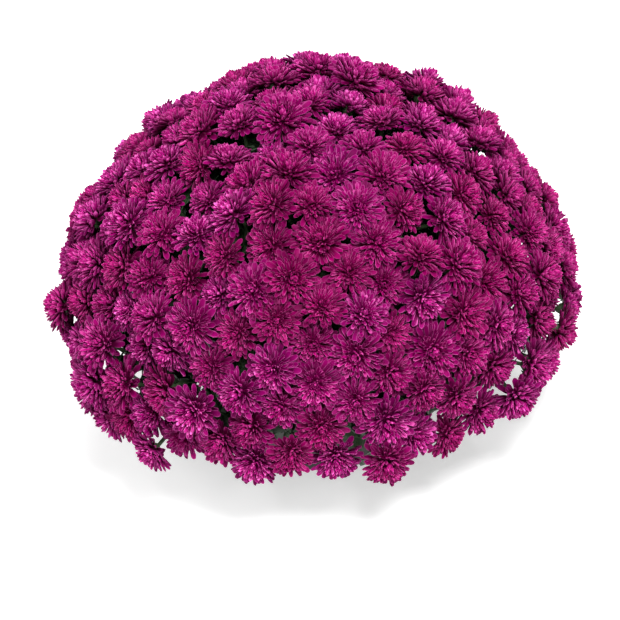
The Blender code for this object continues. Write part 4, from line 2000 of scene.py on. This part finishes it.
@dataclass(frozen=True)
class Soil:
    """The potting mix: a gently crowned top with crumbs on it."""

    shape: PotShape
    finish: bpy.types.Material
    top: float = 0.118
    crown: float = 0.004
    crown_steps: int = 12
    gap: float = 0.0003
    foot_round: float = 0.002
    sides: int = 72
    crumb: Range = (0.0008, 0.0024)
    crumb_stretch: Range = (0.5, 1.3)
    crumb_shake: Range = (0.75, 1.15)
    crumb_turn: Range = (0.0, 6.28)
    crumb_kinds: int = 4
    crumb_density: float = 9000.0

    def profile(self) -> list[tuple[float, float]]:
        """The soil's section from the crown, over the brow, down the pot's wall to its floor.

        Returns:
            Its (radius, height) points.
        """
        inset = self.shape.wall + self.gap
        edge = self.top - self.crown
        reach = self.shape.wall_radius(edge) - inset
        shares = [i / self.crown_steps for i in range(1, self.crown_steps)]
        floor = self.shape.wall_radius(inset) - inset
        return [
            (0.0, self.top + self.crown),
            *((reach * share, self.top + self.crown * (1.0 - 2.0 * share**3)) for share in shares),
            (reach, edge),
            (floor, inset + self.foot_round),
            (floor - self.foot_round, inset),
            (0.0, inset),
        ]

    def crumb_meshes(self) -> Iterator[bpy.types.Mesh]:
        """A few shapes of crumb: stretched and shaken balls.

        Yields:
            Each shape's mesh.
        """
        draw = random.Random(SEED + 3)
        for kind in range(self.crumb_kinds):
            bm = bmesh.new()
            bmesh.ops.create_icosphere(bm, subdivisions=1, radius=1.0)
            stretch = [draw.uniform(*self.crumb_stretch) for _ in range(3)]
            for vert in bm.verts:
                shake = draw.uniform(*self.crumb_shake)
                vert.co = Vector([c * s * shake for c, s in zip(vert.co, stretch)])
            yield mesh_of(f"crumb_{kind}", bm, closed=False)

    def recipe(self) -> Recipe:
        """The tree that strews crumbs on the soil's top.

        Returns:
            The tree.
        """
        recipe = Recipe("soil", Crumbs="Collection", Density="Float")
        ground = recipe.given("Geometry")
        _, _, up = recipe.parts(recipe.term("GeometryNodeInputNormal"))
        points = recipe.term("GeometryNodeDistributePointsOnFaces", {
            "Mesh": ground,
            "Selection": recipe.math("GREATER_THAN", up, 0.5),
            "Density": recipe.given("Density"),
            "Seed": recipe.given("Seed"),
        })
        kind = recipe.math("FLOOR", recipe.draw(0.0, self.crumb_kinds - 0.001, 1))
        turn = recipe.turn(*(recipe.draw(*self.crumb_turn, salt) for salt in (2, 3, 4)))
        size = recipe.draw(*self.crumb, 5)
        crumbs = recipe.copies(points, recipe.given("Crumbs"), kind, turn, size)
        recipe.end(recipe.joined(recipe.realised(crumbs), ground))
        return recipe

    def build(self) -> None:
        """Makes the soil in the place of its solid."""
        body = turned("soil_body", self.profile(), self.sides)
        crumbs = shelf_of("crumbs", self.crumb_meshes())
        name = "soil_and_crumbs"
        mesh = self.recipe().bake(body, name, self.finish, Crumbs=crumbs, Density=self.crumb_density)
        finished(name, mesh, Slot.SOIL, ["soil"])


# Camera, floor and light


@dataclass(frozen=True)
class Lamp:
    """A square lamp that faces the plant."""

    name: str
    place: Place
    size: float
    power: float


LAMPS = (
    Lamp("key", (0.5, -1.7, 2.4), 0.8, 112.0),
    Lamp("fill", (-1.9, -1.2, 1.6), 1.4, 26.0),
    Lamp("top", (0.2, 0.6, 2.6), 1.4, 34.0),
)


@dataclass(frozen=True)
class Studio:
    """A plain pale floor, soft light and a camera at the photograph's angle."""

    elevation: float = math.radians(35.0)
    roll: float = math.radians(7.0)
    distance: float = 4.0
    lens: float = 281.0
    aim: Place = (-0.006, -0.020, 0.122)
    floor_side: float = 12.0
    floor_grey: float = 0.90
    floor_glow: float = 0.48
    surroundings: float = 0.45

    def camera(self) -> None:
        """Creates the scene's camera."""
        data = bpy.data.cameras.new("camera")
        data.lens = self.lens
        camera = placed("camera", data)
        back = Vector((0.0, -math.cos(self.elevation), math.sin(self.elevation)))
        camera.location = Vector(self.aim) + back * self.distance
        level = back.to_track_quat("Z", "Y").to_matrix()
        camera.rotation_euler = (Matrix.Rotation(-self.roll, 3, back) @ level).to_euler()
        bpy.context.scene.camera = camera

    def floor(self) -> None:
        """Creates the pale floor."""
        bm = bmesh.new()
        bmesh.ops.create_grid(bm, x_segments=1, y_segments=1, size=self.floor_side / 2)
        mesh = mesh_of("floor", bm, closed=False)
        finish = Finish("floor")
        finish.set(Base_Color=(*(self.floor_grey,) * 3, 1.0), Roughness=0.9)
        finish.set(Emission_Color=(1.0,) * 4, Emission_Strength=self.floor_glow)
        mesh.materials.append(finish.material)
        placed("floor", mesh)

    def light(self) -> None:
        """Creates the lamps and the pale surroundings."""
        for lamp in LAMPS:
            data = bpy.data.lights.new(lamp.name, "AREA")
            data.size = lamp.size
            data.energy = lamp.power
            made = placed(lamp.name, data)
            made.location = lamp.place
            way = Vector(lamp.place) - Vector(self.aim)
            made.rotation_euler = way.to_track_quat("Z", "Y").to_euler()
        world = bpy.data.worlds.new("surroundings")
        world.use_nodes = True
        background = world.node_tree.nodes["Background"]
        background.inputs["Color"].default_value = (1.0, 1.0, 1.0, 1.0)
        background.inputs["Strength"].default_value = self.surroundings
        bpy.context.scene.world = world
        bpy.context.scene.view_settings.view_transform = "Standard"

    def build(self) -> None:
        """Creates the whole set."""
        self.camera()
        self.floor()
        self.light()


def main() -> None:
    """Builds the set and every piece, and notes the sizes."""
    logging.basicConfig(level=logging.INFO, format="%(name)s: %(message)s")
    Studio().build()
    plan, shape = Plan.drawn(), PotShape()
    Pot(shape, PotFinish().material()).build()
    Soil(shape, SoilFinish().material()).build()
    Stalks(plan, StemFinish().material()).build()
    Leaves(plan, LeafFinish(LEAF_ATLAS).material()).build()
    Blooms(plan, PetalFinish(PETAL_ATLAS, TONES).material()).build()


if __name__ == "__main__":
    main()
